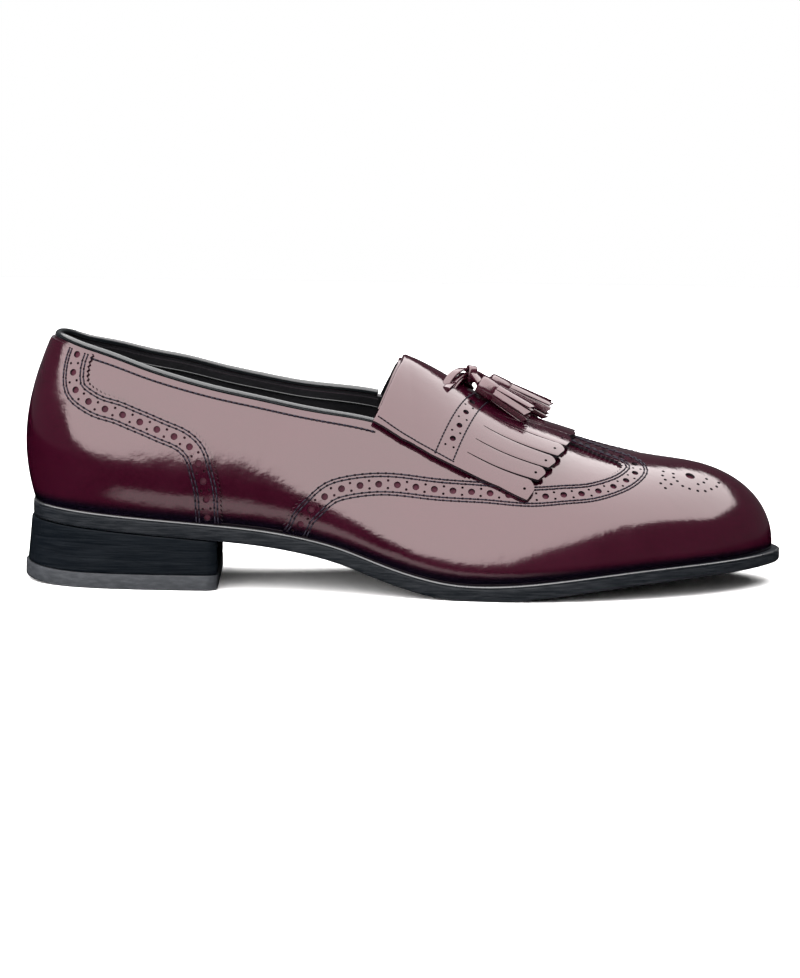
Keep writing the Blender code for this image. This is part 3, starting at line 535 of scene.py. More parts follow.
def sewStitches(name, rows, look, holeShadeLook):
    # each stitch is a short thread, highest in the middle, that dips into a needle hole
    at, size = np.array(sewing["rings"]).T
    sides = sewing["sides"]
    c, s = np.cos(turns(sides)), np.sin(turns(sides))
    fan = np.array([(k, k + 1, 0) for k in range(1, sides - 1)])
    body = gridTriangles(len(at), sides, closed=True)[:, ::-1]
    shape = np.concatenate([body, fan, fan[:, ::-1] + (len(at) - 1) * sides])
    parts, marks = [], []
    for centre, along, normal, length, thickness in rows:
        across = np.cross(normal, along)
        x = 0.5 * length * at
        z = thickness * (sewing["raised"] - sewing["dip"] * at ** 4)
        y = 0.5 * thickness * size
        points = (
            centre[:, None, None]
            + along[:, None, None] * x[None, :, None, None]
            + across[:, None, None] * (y[:, None] * c)[None, :, :, None]
            + normal[:, None, None] * (z[:, None] + y[:, None] * s)[None, :, :, None]
        )
        each = len(at) * sides * np.arange(len(centre))[:, None, None]
        parts.append((points.reshape(-1, 3), (shape[None] + each).reshape(-1, 3)))
        marks.append(0)
        # each needle hole is a flat near-black disc just over the surface: painted shade, no hole is cut
        radius = min(sewing["dent"] * thickness, sewing["dentMost"])
        for end in (-0.5, 0.5):
            dent = centre + along * (length * end * sewing["dentReach"]) + normal * sewing["dentLift"]
            parts.append(discs(dent, along, across, radius, sewing["dentSides"]))
            marks.append(1)
    groups = np.repeat(marks, [len(triangles) for points, triangles in parts])
    return makePiece(name, *joinParts(parts), [look, holeShadeLook], groups, angle=60.0)


print("surface ready")

# Looks: shared effects are node groups, each look places them with its own values.
def nodeGroup(name, inputs, outputs):
    group = bpy.data.node_groups.new(name, "ShaderNodeTree")
    sockets, kind = group.interface, "NodeSocketFloat"
    for label, value in inputs.items():
        sockets.new_socket(name=label, in_out="INPUT", socket_type=kind).default_value = value
    for label in outputs:
        sockets.new_socket(name=label, in_out="OUTPUT", socket_type=kind)
    return group, group.nodes.new("NodeGroupInput"), group.nodes.new("NodeGroupOutput")


def noiseNode(group, coords, scale, detail, roughness=0.5, distortion=0.0):
    noise = group.nodes.new("ShaderNodeTexNoise")
    noise.inputs["Detail"].default_value = detail
    noise.inputs["Roughness"].default_value = roughness
    noise.inputs["Distortion"].default_value = distortion
    if isinstance(scale, (int, float)):
        noise.inputs["Scale"].default_value = scale
    else:
        group.links.new(scale, noise.inputs["Scale"])
    group.links.new(coords, noise.inputs["Vector"])
    return noise.outputs["Fac"]


def makeLeatherGrain():
    # fine pores, slow waves of the hide over the last, and large patches of tone
    inputs = {"Pores": 1500.0, "Waves": 60.0}
    group, given, out = nodeGroup("leatherGrain", inputs, ("Grain", "Wave", "Patch"))
    coords = group.nodes.new("ShaderNodeTexCoord").outputs["Object"]
    group.links.new(noiseNode(group, coords, given.outputs["Pores"], 3.0, 0.6), out.inputs["Grain"])
    group.links.new(noiseNode(group, coords, given.outputs["Waves"], 5.0, 0.58), out.inputs["Wave"])
    group.links.new(noiseNode(group, coords, 22.0, 3.0, 0.55, 0.4), out.inputs["Patch"])
    return group


def makeEdgeGrain():
    # fibres of a trimmed sole edge: noise drawn out along the floor
    group, given, out = nodeGroup("edgeGrain", {"Long": 60.0, "Across": 1800.0}, ("Fibres", "Scuffs"))
    coords = group.nodes.new("ShaderNodeTexCoord").outputs["Object"]
    join = group.nodes.new("ShaderNodeCombineXYZ")
    group.links.new(given.outputs["Long"], join.inputs["X"])
    group.links.new(given.outputs["Long"], join.inputs["Y"])
    group.links.new(given.outputs["Across"], join.inputs["Z"])
    stretch = group.nodes.new("ShaderNodeVectorMath")
    stretch.operation = "MULTIPLY"
    group.links.new(coords, stretch.inputs[0])
    group.links.new(join.outputs["Vector"], stretch.inputs[1])
    group.links.new(noiseNode(group, stretch.outputs["Vector"], 1.0, 4.0, 0.6), out.inputs["Fibres"])
    group.links.new(noiseNode(group, coords, 260.0, 4.0, 0.65), out.inputs["Scuffs"])
    return group


grainGroup = makeLeatherGrain()
edgeGroup = makeEdgeGrain()


def newLook(name, settings):
    material = bpy.data.materials.new(name)
    material.use_nodes = True
    shader = material.node_tree.nodes["Principled BSDF"]
    shader.inputs["Base Color"].default_value = (*settings["colour"], 1.0)
    shader.inputs["Roughness"].default_value = settings["roughness"]
    shader.inputs["Specular IOR Level"].default_value = settings["specular"]
    shader.inputs["Specular Tint"].default_value = (*settings.get("tint", (1.0, 1.0, 1.0)), 1.0)
    return material, material.node_tree, shader


def placeGroup(tree, group, **values):
    node = tree.nodes.new("ShaderNodeGroup")
    node.node_tree = group
    for label, value in values.items():
        node.inputs[label].default_value = value
    return node


def mapRange(tree, source, low, high, toLow, toHigh):
    # the source's range low..high becomes toLow..toHigh
    node = tree.nodes.new("ShaderNodeMapRange")
    for label, value in zip(("From Min", "From Max", "To Min", "To Max"), (low, high, toLow, toHigh)):
        node.inputs[label].default_value = value
    tree.links.new(source, node.inputs["Value"])
    return node


def ramp(tree, source, low, high, toLow, toHigh, socket):
    tree.links.new(mapRange(tree, source, low, high, toLow, toHigh).outputs["Result"], socket)


def colourMix(tree, first, second):
    # returns the sockets for the share and the first colour, and the mixed colour
    node = tree.nodes.new("ShaderNodeMix")
    node.data_type = "RGBA"
    node.inputs[6].default_value = (*first, 1.0)
    node.inputs[7].default_value = (*second, 1.0)
    return node.inputs[0], node.inputs[6], node.outputs[2]


def mixColours(tree, source, low, high, first, second, socket):
    share, start, mixed = colourMix(tree, first, second)
    ramp(tree, source, low, high, 0.0, 1.0, share)
    tree.links.new(mixed, socket)


def bump(tree, source, distance, strength, before=None):
    node = tree.nodes.new("ShaderNodeBump")
    node.inputs["Distance"].default_value = distance
    node.inputs["Strength"].default_value = strength
    tree.links.new(source, node.inputs["Height"])
    if before is not None:
        tree.links.new(before, node.inputs["Normal"])
    return node.outputs["Normal"]


def leatherLook(name, settings):
    material, tree, shader = newLook(name, settings)
    grain = placeGroup(tree, grainGroup, Pores=settings["pores"], Waves=settings["waves"])
    patch, rough, base = grain.outputs["Patch"], settings["roughness"], shader.inputs["Base Color"]
    if "foot" in settings:
        # painted shade: the leather is darkened towards the feather line, where the welt shades it; the mask
        # rides on the mesh
        mask = tree.nodes.new("ShaderNodeAttribute")
        mask.attribute_name = "foot"
        share, start, mixed = colourMix(tree, settings["colour"], settings["foot"])
        tree.links.new(mask.outputs["Fac"], share)
        tree.links.new(mixed, base)
        base = start
    mixColours(tree, patch, 0.35, 0.65, settings["colour"], settings["other"], base)
    ramp(tree, patch, 0.3, 0.7, rough - 0.02, rough + 0.03, shader.inputs["Roughness"])
    wave = bump(tree, grain.outputs["Wave"], 0.001, settings["waveDepth"])
    fine = bump(tree, grain.outputs["Grain"], 0.0001, settings["poreDepth"], wave)
    tree.links.new(fine, shader.inputs["Normal"])
    return material


def edgeLook(name, settings):
    material, tree, shader = newLook(name, settings)
    grain = placeGroup(tree, edgeGroup, Long=settings["long"], Across=settings["across"])
    fibres, scuffs, rough = grain.outputs["Fibres"], grain.outputs["Scuffs"], settings["roughness"]
    mixColours(tree, fibres, 0.4, 0.72, settings["colour"], settings["other"], shader.inputs["Base Color"])
    ramp(tree, scuffs, 0.3, 0.7, rough - 0.06, rough + 0.1, shader.inputs["Roughness"])
    lines = bump(tree, fibres, 0.0003, settings["depth"])
    tree.links.new(bump(tree, scuffs, 0.0002, 0.2, lines), shader.inputs["Normal"])
    return material


# foot: the colour of the painted shade at the feather line
leatherColumns = (
    "colour", "other", "roughness", "specular", "pores", "waves", "waveDepth", "poreDepth", "tint", "foot",
)
leatherRows = {
    "burgundyLeather": (
        (0.0100, 0.0006, 0.0030), (0.0135, 0.0010, 0.0042), 0.10, 0.62, 1500.0, 95.0, 0.16, 0.10,
        # its foot colour, near black, is painted shade along the feather line
        (1.0, 0.82, 0.82), (0.0010, 0.0006, 0.0018),
    ),
    "tasselLeather": (
        (0.0140, 0.0012, 0.0040), (0.0190, 0.0018, 0.0060), 0.20, 0.75, 1300.0, 120.0, 0.10, 0.15,
        (1.0, 0.84, 0.84),
    ),
    "liningLeather": ((0.006, 0.006, 0.0068), (0.010, 0.010, 0.0114), 0.32, 0.36, 700.0, 330.0, 0.45, 0.45),
    "bindingLeather": ((0.003, 0.004, 0.005), (0.006, 0.007, 0.008), 0.22, 0.5, 900.0, 220.0, 0.15, 0.25),
    "cutEdge": ((0.004, 0.003, 0.005), (0.012, 0.004, 0.008), 0.55, 0.4, 1600.0, 300.0, 0.2, 0.5),
    "darkThread": ((0.0045, 0.0035, 0.0085), (0.011, 0.008, 0.015), 0.5, 0.16, 3500.0, 900.0, 0.1, 0.6),
    # needle holes: a near-black disc, painted shade
    "needleHoleShade": ((0.002, 0.001, 0.002), (0.004, 0.001, 0.003), 0.9, 0.1, 1500.0, 300.0, 0.1, 0.2),
    "holeFloor": ((0.026, 0.0035, 0.0090), (0.045, 0.0080, 0.0165), 0.5, 0.10, 1500.0, 400.0, 0.3, 0.4),
}
edgeColumns = ("colour", "other", "roughness", "specular", "long", "across", "depth")
edgeRows = {
    "soleEdge": ((0.0028, 0.0037, 0.0050), (0.0120, 0.0130, 0.0150), 0.36, 0.065, 110.0, 1700.0, 0.5),
    "soleRim": ((0.012, 0.013, 0.014), (0.030, 0.030, 0.032), 0.28, 0.75, 60.0, 300.0, 0.15),
    "heelEdge": ((0.0014, 0.0022, 0.0033), (0.0050, 0.0062, 0.0078), 0.34, 0.03, 60.0, 1700.0, 0.25),
    "soleWelt": ((0.002, 0.002, 0.003), (0.005, 0.005, 0.006), 0.45, 0.12, 200.0, 400.0, 0.2),
    "soleUnderside": ((0.007, 0.006, 0.006), (0.016, 0.014, 0.013), 0.55, 0.3, 120.0, 120.0, 0.25),
    "liftRubber": ((0.0165, 0.0180, 0.0208), (0.0285, 0.0305, 0.0345), 0.55, 0.17, 260.0, 900.0, 0.35),
}
burgundy, tasselLeather, liningLeather, bindingLeather, cutEdge, thread, needleHoleShade, holeFloor = (
    leatherLook(name, dict(zip(leatherColumns, row))) for name, row in leatherRows.items()
)
soleSide, soleRim, heelSide, soleTop, soleUnder, liftRubber = (
    edgeLook(name, dict(zip(edgeColumns, row))) for name, row in edgeRows.items()
)
print("materials made")

# The upper: quarters and vamp, one shell with its lining.
upper = {
    # steps of the grid and, in grid steps, of the outline; how far the sheets reach down
    "step": 0.050, "edgeStep": 0.6, "foot": 0.999, "wall": 1.8, "linePoints": 190,
    "outerCollar": (
        (0.0, -0.045), (1.1, -0.05), (1.6, -0.068), (2.2, -0.104), (2.6, -0.144), (3.0, -0.182), (3.5, -0.225),
        (4.0, -0.262), (4.5, -0.303), (4.95, -0.340), (5.3, -0.370), (5.6, -0.397),
    ),
    "innerCollar": (
        (0.0, 0.045), (1.1, 0.05), (1.6, 0.075), (2.2, 0.10), (2.6, 0.125), (3.0, 0.144), (3.5, 0.186),
        (4.0, 0.222), (4.5, 0.254), (4.95, 0.278), (5.3, 0.302), (5.6, 0.325),
    ),
    "throatEdge": ((5.63, -0.39), (5.74, -0.32), (5.90, -0.21), (6.06, -0.07), (6.08, 0.0)),
    "innerThroat": 0.88,
    "toeTop": 0.06,
}


def buildUpper():
    step = upper["edgeStep"] * upper["step"]
    toe, foot = last["toe"], upper["foot"]
    throat = np.array(upper["throatEdge"])
    other = mirrored(throat)[1:] * (1.0, upper["innerThroat"])
    outer = roundedLine(upper["outerCollar"], upper["linePoints"])
    inner = roundedLine(upper["innerCollar"], upper["linePoints"])[::-1]
    outline = np.concatenate([
        spaced((outer[0], (0.0, -foot), (toe, -foot), (toe, -upper["toeTop"])), step),
        spaced(((toe, upper["toeTop"]), (toe, foot), (0.0, foot), inner[-1]), step),
        inner[-2::-1],
        spaced(other[::-1], step)[:-1],
        spaced(throat[::-1], step),
        outer[:0:-1],
    ])
    piece = leatherSheet("upperLeather", [outline], [], upper["step"], level(-upper["wall"]), level(0.0),
                         [burgundy, liningLeather, cutEdge])
    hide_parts("upper")


buildUpper()
print("upper laid")

# Punched bands, shared by the wing and the counter: rows and holes are millimetres from the
# band's middle line; "foot" numbers say how far down the sheet, its holes and its rows go.
band = {
    "toEdge": 5.7, "tooth": 0.38, "toothPitch": 1.9,
    "hole": 1.4, "holeSides": 14, "smallHole": 0.55, "smallSides": 8, "pitch": 7.4, "smallAcross": 1.55,
    "rows": (-4.35, -3.1, 3.1, 4.35), "stitchPitch": 3.08, "stitchLength": 2.65, "thread": 0.54,
    "gap": 0.05, "height": 1.30, "floor": 0.10, "edgeDrop": 0.10,
    "foot": 0.998, "holeFoot": 0.97, "rowFoot": 0.985, "heelSeam": 0.03,
}
stitches = []
punched = []


def bandHoles(line, start):
    # big holes along the line, and pairs of small ones between them
    big = paced(line, band["pitch"], start)
    between = paced(line, band["pitch"], start + 0.5)
    small = np.concatenate([beside(between, band["smallAcross"]), beside(between, -band["smallAcross"])])
    return (big, band["hole"], band["holeSides"]), (small, band["smallHole"], band["smallSides"])


def punch(places, radius, sides, floor):
    # holes for the pattern; their floors are laid later
    punched.append((places, radius, floor))
    return holeRings(places, radius, sides)


def sewAlong(line, part, height):
    stitches.append(stitchRow(line, part["stitchPitch"], part["stitchLength"], height, part["thread"]))


def pinkedEdge(line):
    # a saw-tooth edge: points half a tooth apart, in and out by turns
    edge = paced(beside(line, band["toEdge"]), 0.5 * band["toothPitch"], 0.0)
    return beside(edge, band["tooth"] * (2.0 * (np.arange(len(edge)) % 2) - 1.0))


wing = {
    "step": 0.050, "linePoints": 500, "firstHole": 0.35,
    # half widths left open at the ridge: at the toe, and the tip of the edge beyond the last tooth
    "top": 0.06, "lastTooth": 0.006, "tip": 0.12,
    "band": (
        (4.40, -1.0), (4.44, -0.975), (4.54, -0.88), (4.70, -0.79), (4.90, -0.71), (5.12, -0.67),
        (5.58, -0.63), (6.06, -0.615), (6.52, -0.59), (6.98, -0.565), (7.44, -0.555), (7.94, -0.525),
        (8.20, -0.505), (8.46, -0.465), (8.70, -0.41), (8.94, -0.325), (9.06, -0.235), (8.98, -0.165),
        (8.75, -0.125), (8.40, -0.085), (8.05, -0.035), (7.92, 0.0),
    ),
    # the toe's figure: one large hole and small ones, whose girths count from the outer feather line
    "medallionCentre": (10.08, -0.305), "medallionHole": 2.0, "medallionSides": 16, "dot": 0.68,
    "medallion": (
        (9.54, 0.735), (9.46, 0.69), (9.46, 0.65), (9.34, 0.615), (9.38, 0.575), (9.72, 0.715), (9.66, 0.675),
        (9.68, 0.64), (9.52, 0.61), (9.72, 0.595), (9.82, 0.57), (9.96, 0.55), (10.12, 0.545), (10.30, 0.56),
        (10.50, 0.58), (10.68, 0.615), (10.08, 0.61), (10.26, 0.625), (10.44, 0.66),
    ),
}


def buildWing():
    toe, foot, top = last["toe"], band["foot"], wing["top"]
    line = roundedLine(wing["band"], wing["linePoints"])
    edge = pinkedEdge(line[line[:, 1] < 0.0])
    edge = edge[(edge[:, 1] > -foot) & (edge[:, 1] < -wing["lastTooth"])]
    edge = np.concatenate([[(edge[0, 0], -foot)], edge, [(edge[-1, 0] - wing["tip"], 0.0)]])
    back = mirrored(edge)[1:]
    step = upper["edgeStep"] * wing["step"]
    outline = np.concatenate([
        spaced(((edge[0, 0], -foot), (toe, -foot), (toe, -top)), step),
        spaced(((toe, top), (toe, foot), (back[-1, 0], foot)), step)[:-1],
        back[::-1],
        edge[::-1][:-1],
    ])
    kinds = [
        (places[(np.abs(places[:, 1]) < band["holeFoot"]) & (places[:, 0] > band["heelSeam"])], radius, sides)
        for places, radius, sides in bandHoles(line[::-1], wing["firstHole"])
    ]
    kinds.append((np.array([wing["medallionCentre"]]), wing["medallionHole"], wing["medallionSides"]))
    kinds.append((np.array(wing["medallion"]) - (0.0, 1.0), wing["dot"], band["smallSides"]))
    holes = []
    for side in (1.0, -1.0):
        for places, radius, sides in kinds:
            holes += punch(places * (1.0, side), radius, sides, band["floor"])
    piece = leatherSheet("wingLeather", [outline], holes, wing["step"], level(band["gap"]),
                         level(band["height"]), [burgundy, burgundy, cutEdge], band["edgeDrop"])
    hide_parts("toe_wing")
    for distance in band["rows"]:
        row = beside(line, distance)
        row = row[(row[:, 1] < 0.0) & (row[:, 1] > -band["rowFoot"])]
        for side in (1.0, -1.0):
            sewAlong(row * (1.0, side), band, band["height"])


buildWing()
print("wing laid")

counter = {
    "step": 0.050, "linePoints": 400, "collarPoints": 260, "firstHole": 0.6,
    "band": (
        (1.56, -0.05), (1.50, -0.12), (1.50, -0.21), (1.60, -0.295), (1.82, -0.345), (2.04, -0.375),
        (2.26, -0.39), (2.46, -0.415), (2.64, -0.44), (2.86, -0.475), (3.04, -0.505), (3.20, -0.57),
        (3.28, -0.675), (3.34, -0.795), (3.36, -0.915), (3.37, -1.0),
    ),
    # girth kept clear under the collar line by the edge, the holes and the rows of stitches
    "below": 0.012, "holeBelow": 0.035, "rowBelow": 0.022,
}


def buildCounter():
    step, foot = upper["edgeStep"] * counter["step"], band["foot"]
    line = roundedLine(counter["band"], counter["linePoints"])
    edge = pinkedEdge(line)
    outlines, holes = [], []
    for side, collarRows in ((-1.0, upper["outerCollar"]), (1.0, upper["innerCollar"])):
        top = roundedLine(collarRows, counter["collarPoints"])

        def clear(places, gap, down):
            # which places lie gap under the collar line and above the foot line
            girth = np.abs(places[:, 1])
            return (girth - np.abs(np.interp(places[:, 0], top[:, 0], top[:, 1])) > gap) & (girth < down)

        near = edge * (1.0, -side)
        near = near[clear(near, counter["below"], foot)]
        rim = top[top[:, 0] < near[0, 0] - 0.01] + (0.0, side * counter["below"])
        outline = np.concatenate([
            spaced(((0.0, side * foot), (near[-1, 0], side * foot)), step),
            near[::-1], rim[::-1],
            spaced((rim[0], (0.0, side * foot)), step)[1:-1],
        ])
        outlines.append(outline if side < 0 else outline[::-1])
        for places, radius, sides in bandHoles(line, counter["firstHole"]):
            places = places * (1.0, -side)
            places = places[clear(places, counter["holeBelow"], band["holeFoot"])]
            holes += punch(places, radius, sides, band["floor"])
        for distance in band["rows"]:
            row = beside(line, distance) * (1.0, -side)
            sewAlong(row[clear(row, counter["rowBelow"], band["rowFoot"])], band, band["height"])
    piece = leatherSheet("counterLeather", outlines, holes, counter["step"], level(band["gap"]),
                         level(band["height"]), [burgundy, burgundy, cutEdge], band["edgeDrop"])
    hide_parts("heel_counter")


buildCounter()
print("counter laid")

# The kiltie with its fringe, and the tongue under it. A slit is its root and its mouth, each a
# station and a girth; heights, hole radii and threads are millimetres.
kiltie = {
    "step": 0.026,
    "back": ((5.48, -0.39), (5.60, -0.325), (5.76, -0.215), (5.92, -0.08), (5.96, 0.0)),
    "lower": ((5.48, -0.39), (5.84, -0.455), (6.20, -0.49), (6.56, -0.51), (7.02, -0.54), (7.36, -0.585)),
    "slits": (
        (6.64, -0.435, 7.50, -0.485), (6.76, -0.360, 7.66, -0.410), (6.88, -0.275, 7.82, -0.330),
        (7.00, -0.180, 7.97, -0.235), (7.10, -0.070, 8.12, -0.110),
    ),
    "tips": (7.47, 7.64, 7.80, 7.95, 8.10, 8.22),
    "slitHalf": 0.0018, "slitRound": 0.01, "slitLength": 0.95,
    "under": 1.45, "top": 3.34, "edgeDrop": 0.12,
    # the back edge is rolled; strips rise by turns, in a wave from strip to strip
    "roll": 0.8, "rollReach": 30.0, "wave": (0.35, 0.25, 2.3, 0.7), "crown": 0.16,
    "bandRows": (((6.88, -0.02), (6.24, -0.485)), ((7.07, -0.02), (6.46, -0.49))),
    "bandHoles": ((6.86, -0.075), (6.77, -0.155), (6.67, -0.245), (6.57, -0.33), (6.475, -0.40)),
    "edgeRow": ((5.55, -0.375), (5.84, -0.435), (6.24, -0.476), (6.46, -0.492)),
    "stitchPitch": 1.62, "stitchLength": 1.12, "thread": 0.42,
    "hole": 1.25, "smallHole": 0.5, "smallAcross": 1.75, "stripHole": 0.62, "stripHoleBack": 0.125,
    "floor": 1.85,
    # a strip's blunt end, from its lower corner: stations from the tip, shares of the width
    "tipShape": (
        (-0.110, 0.0), (-0.095, 0.03), (-0.012, 0.42), (0.002, 0.52), (0.004, 0.64), (-0.008, 0.80),
        (-0.030, 0.93), (-0.065, 1.0),
    ),
    "lastTip": ((-0.105, 1.0), (-0.02, 0.72), (0.0, 0.45), (0.0, 0.0)),
}
tongue = {
    "back": ((5.565, -0.335), (5.73, -0.221), (5.885, -0.084), (5.928, 0.0)), "front": 6.9,
    "step": 0.045, "edgeStep": 0.03, "under": 0.2, "top": 1.40, "edgeDrop": 0.2,
}


def stripEdges():
    # the two girths at each strip's mouth, with the strip's tip
    low = kiltie["lower"][-1][1]
    edges = []
    for slit, tip in zip(kiltie["slits"], kiltie["tips"]):
        edges.append((low, slit[3], tip))
        low = slit[3]
    return edges


def fringeOutline():
    half, curve = kiltie["slitHalf"], kiltie["slitRound"]
    rows = []
    for number, ((low, high, tip), slit) in enumerate(zip(stripEdges(), kiltie["slits"])):
        low, high = low + (half if number else 0.0), high - half
        for ahead, share in kiltie["tipShape"]:
            rows.append((tip + ahead, high if share == 1.0 else low + share * (high - low)))
        root, girth = slit[:2]
        rows += [(root + curve, girth - half), (root, girth), (root + curve, girth + half)]
    low = kiltie["slits"][-1][3] + half
    rows += [(kiltie["tips"][-1] + ahead, share * low) for ahead, share in kiltie["lastTip"]]
    return np.array(rows)


def stripPlace(places):
    # which strip a place is in, how far along it, and how near its edge (0 middle, 1 edge)
    slits = np.array(kiltie["slits"])
    station, girth = places[:, 0][:, None], -np.abs(places[:, 1])[:, None]
    share = (station - slits[:, 0]) / (slits[:, 2] - slits[:, 0])
    line = slits[:, 1] + (slits[:, 3] - slits[:, 1]) * share
    lower = np.interp(places[:, 0], *zip(*kiltie["lower"]))[:, None]
    lines = np.concatenate([lower, line, -line[:, -1:]], 1)
    strip = (girth > line).sum(1)
    row = np.arange(len(places))
    low, high = lines[row, strip], lines[row, strip + 1]
    across = np.clip(np.abs(2.0 * (girth[:, 0] - low) / (high - low) - 1.0), 0.0, 1.0)
    root = np.concatenate([slits[:, 0], slits[-1:, 0]])[strip]
    return strip, np.clip((places[:, 0] - root) / kiltie["slitLength"], 0.0, 1.0), across


def stripLift(strip, along):
    middle, swing, turn, phase = kiltie["wave"]
    return (middle + swing * np.sin(turn * strip + phase)) * along ** 2


def kiltieTop(places):
    strip, along, across = stripPlace(places)
    lift = stripLift(strip, along) - kiltie["crown"] * across ** 8 * smoothStep(0.0, 0.25, along)
    edge = np.array(kiltie["back"])[::-1]
    back = np.interp(np.abs(places[:, 1]), -edge[:, 1], edge[:, 0])
    near = np.clip(1.0 - (places[:, 0] - back) * kiltie["rollReach"] / kiltie["roll"], 0.0, 1.0)
    return kiltie["top"] + lift - kiltie["roll"] * (1.0 - np.sqrt(1.0 - near ** 2)) * 0.8


def kiltieUnder(places):
    strip, along, across = stripPlace(places)
    return kiltie["under"] + stripLift(strip, along)


def buildKiltie():
    step = 0.7 * kiltie["step"]
    near = spaced(np.concatenate([np.array(kiltie["lower"])[:-1], fringeOutline()]), step)
    back = np.array(kiltie["back"])
    outline = np.concatenate([
        near, mirrored(near)[1:], spaced(mirrored(back)[::-1], step)[1:], spaced(back[::-1], step)[1:-1],
    ])
    rows = [spaced(row, 0.02) for row in kiltie["bandRows"]] + [roundedLine(kiltie["edgeRow"], 80)]
    big = np.array(kiltie["bandHoles"])
    small = np.concatenate([0.5 * (big[1:] + big[:-1]), [1.5 * big[-1] - 0.5 * big[-2]]])
    small = np.concatenate([beside(small, kiltie["smallAcross"]), beside(small, -kiltie["smallAcross"])])
    back = kiltie["stripHoleBack"]
    tipHoles = np.array([(tip - back, 0.5 * (low + high)) for low, high, tip in stripEdges()])
    holes = []
    for side in (1.0, -1.0):
        for places, radius, sides in (
            (big, kiltie["hole"], band["holeSides"]), (small, kiltie["smallHole"], band["smallSides"]),
            (tipHoles, kiltie["stripHole"], band["smallSides"]),
        ):
            holes += punch(places * (1.0, side), radius, sides, kiltie["floor"])
        for row in rows:
            sewAlong(row * (1.0, side), kiltie, kiltie["top"])
    piece = leatherSheet("kiltieLeather", [outline], holes, kiltie["step"], kiltieUnder, kiltieTop,
                         [burgundy, liningLeather, cutEdge], kiltie["edgeDrop"])
    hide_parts("kiltie")


def buildTongue():
    step, front = tongue["edgeStep"], tongue["front"]
    back = np.array(tongue["back"])
    outline = np.concatenate([
        spaced((back[0], (front, back[0, 1]), (front, -back[0, 1]), back[0] * (1.0, -1.0)), step),
        spaced(mirrored(back)[::-1], step)[1:],
        spaced(back[::-1], step)[1:-1],
    ])
    piece = leatherSheet("tongueLeather", [outline], [], tongue["step"], level(tongue["under"]),
                         level(tongue["top"]), [burgundy, liningLeather, cutEdge], tongue["edgeDrop"])
    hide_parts("tongue")


def buildHoleFloors():
    # dull discs at the bottom of the punched holes
    floors = []
    for places, radius, lift in punched:
        across = unit(lastSlopes(places)[0])
        floors.append(discs(onLast(places, lift), across, np.cross(lastNormal(places), across), radius, 10))
    piece = makePiece("holeFloors", *joinParts(floors), [holeFloor])


buildKiltie()
buildTongue()
buildHoleFloors()
print("kiltie laid")

# The bead on the collar and the facing inside it. "row" is the row of stitches under the bead:
# girth below it, first and last station.
collar = {
    "radius": 1.25, "wide": 1.04, "gap": 0.3, "end": 5.59, "sides": 14, "points": 130,
    "facingStep": 0.05, "facingPoints": 120, "facingDrops": (0.012, 0.055),
    "facingTop": -1.88, "facingUnder": -2.55, "welt": 0.38, "weltLift": 0.1, "weltSides": 8,
    "row": (0.037, 1.70, 5.50), "rowPoints": 200, "stitchPitch": 2.25, "stitchLength": 1.65, "thread": 0.80,
}


def collarLine(count, drop=0.0):
    # both collar lines as one, from the outer corner of the throat round the heel to the inner
    outer = roundedLine(upper["outerCollar"], count)
    inner = roundedLine(upper["innerCollar"], count)
    outer = outer[outer[:, 0] < collar["end"]][::-1] - (0.0, drop)
    inner = inner[inner[:, 0] < collar["end"]][1:] + (0.0, drop)
    return outer, inner


def buildBinding():
    line = np.concatenate(collarLine(collar["points"]))
    edge = onLast(line, -0.5 * upper["wall"])
    up = unit(-lastSlopes(line)[1] * np.sign(line[:, 1])[:, None])
    path = edge + up * (collar["gap"] * 0.4 + collar["radius"])
    across, upward = framesAlong(path, up)
    high, sides = collar["radius"], collar["sides"]
    rings = loopAround(path, across, upward, high * collar["wide"], high, sides)
    piece = makePiece("collarBinding", *tubeParts(path, rings), [bindingLeather], angle=70.0)
    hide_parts("collar_binding")


def buildFacing():
    step = collar["facingStep"]
    high, low = (collarLine(collar["facingPoints"], drop) for drop in collar["facingDrops"])
    outlines = []
    for side, turn in ((0, -1), (1, 1)):
        top, bottom = high[side][::turn], low[side][::turn]
        loop = np.concatenate([
            bottom, spaced((bottom[-1], top[-1]), step)[1:-1],
            top[::-1], spaced((top[0], bottom[0]), step)[1:-1],
        ])
        outlines.append(loop[::-turn])
    piece = leatherSheet("collarFacing", outlines, [], step, level(collar["facingUnder"]),
                         level(collar["facingTop"]), [liningLeather, liningLeather, cutEdge])
    # a fine welt along the facing's lower edge
    welts, size = [], collar["welt"]
    for line in low:
        path = onLast(line, collar["facingUnder"] + collar["weltLift"])
        across, upward = framesAlong(path, lastNormal(line))
        welts.append(tubeParts(path, loopAround(path, across, upward, size, size, collar["weltSides"])))
    piece = makePiece("facingWelt", *joinParts(welts), [bindingLeather], angle=70.0)


def buildToplineRows():
    drop, start, end = collar["row"]
    outer, inner = collarLine(collar["rowPoints"], drop)
    for row in (outer[::-1], inner):
        sewAlong(row[(row[:, 0] > start) & (row[:, 0] < end)], collar, 0.0)


buildBinding()
buildFacing()
buildToplineRows()

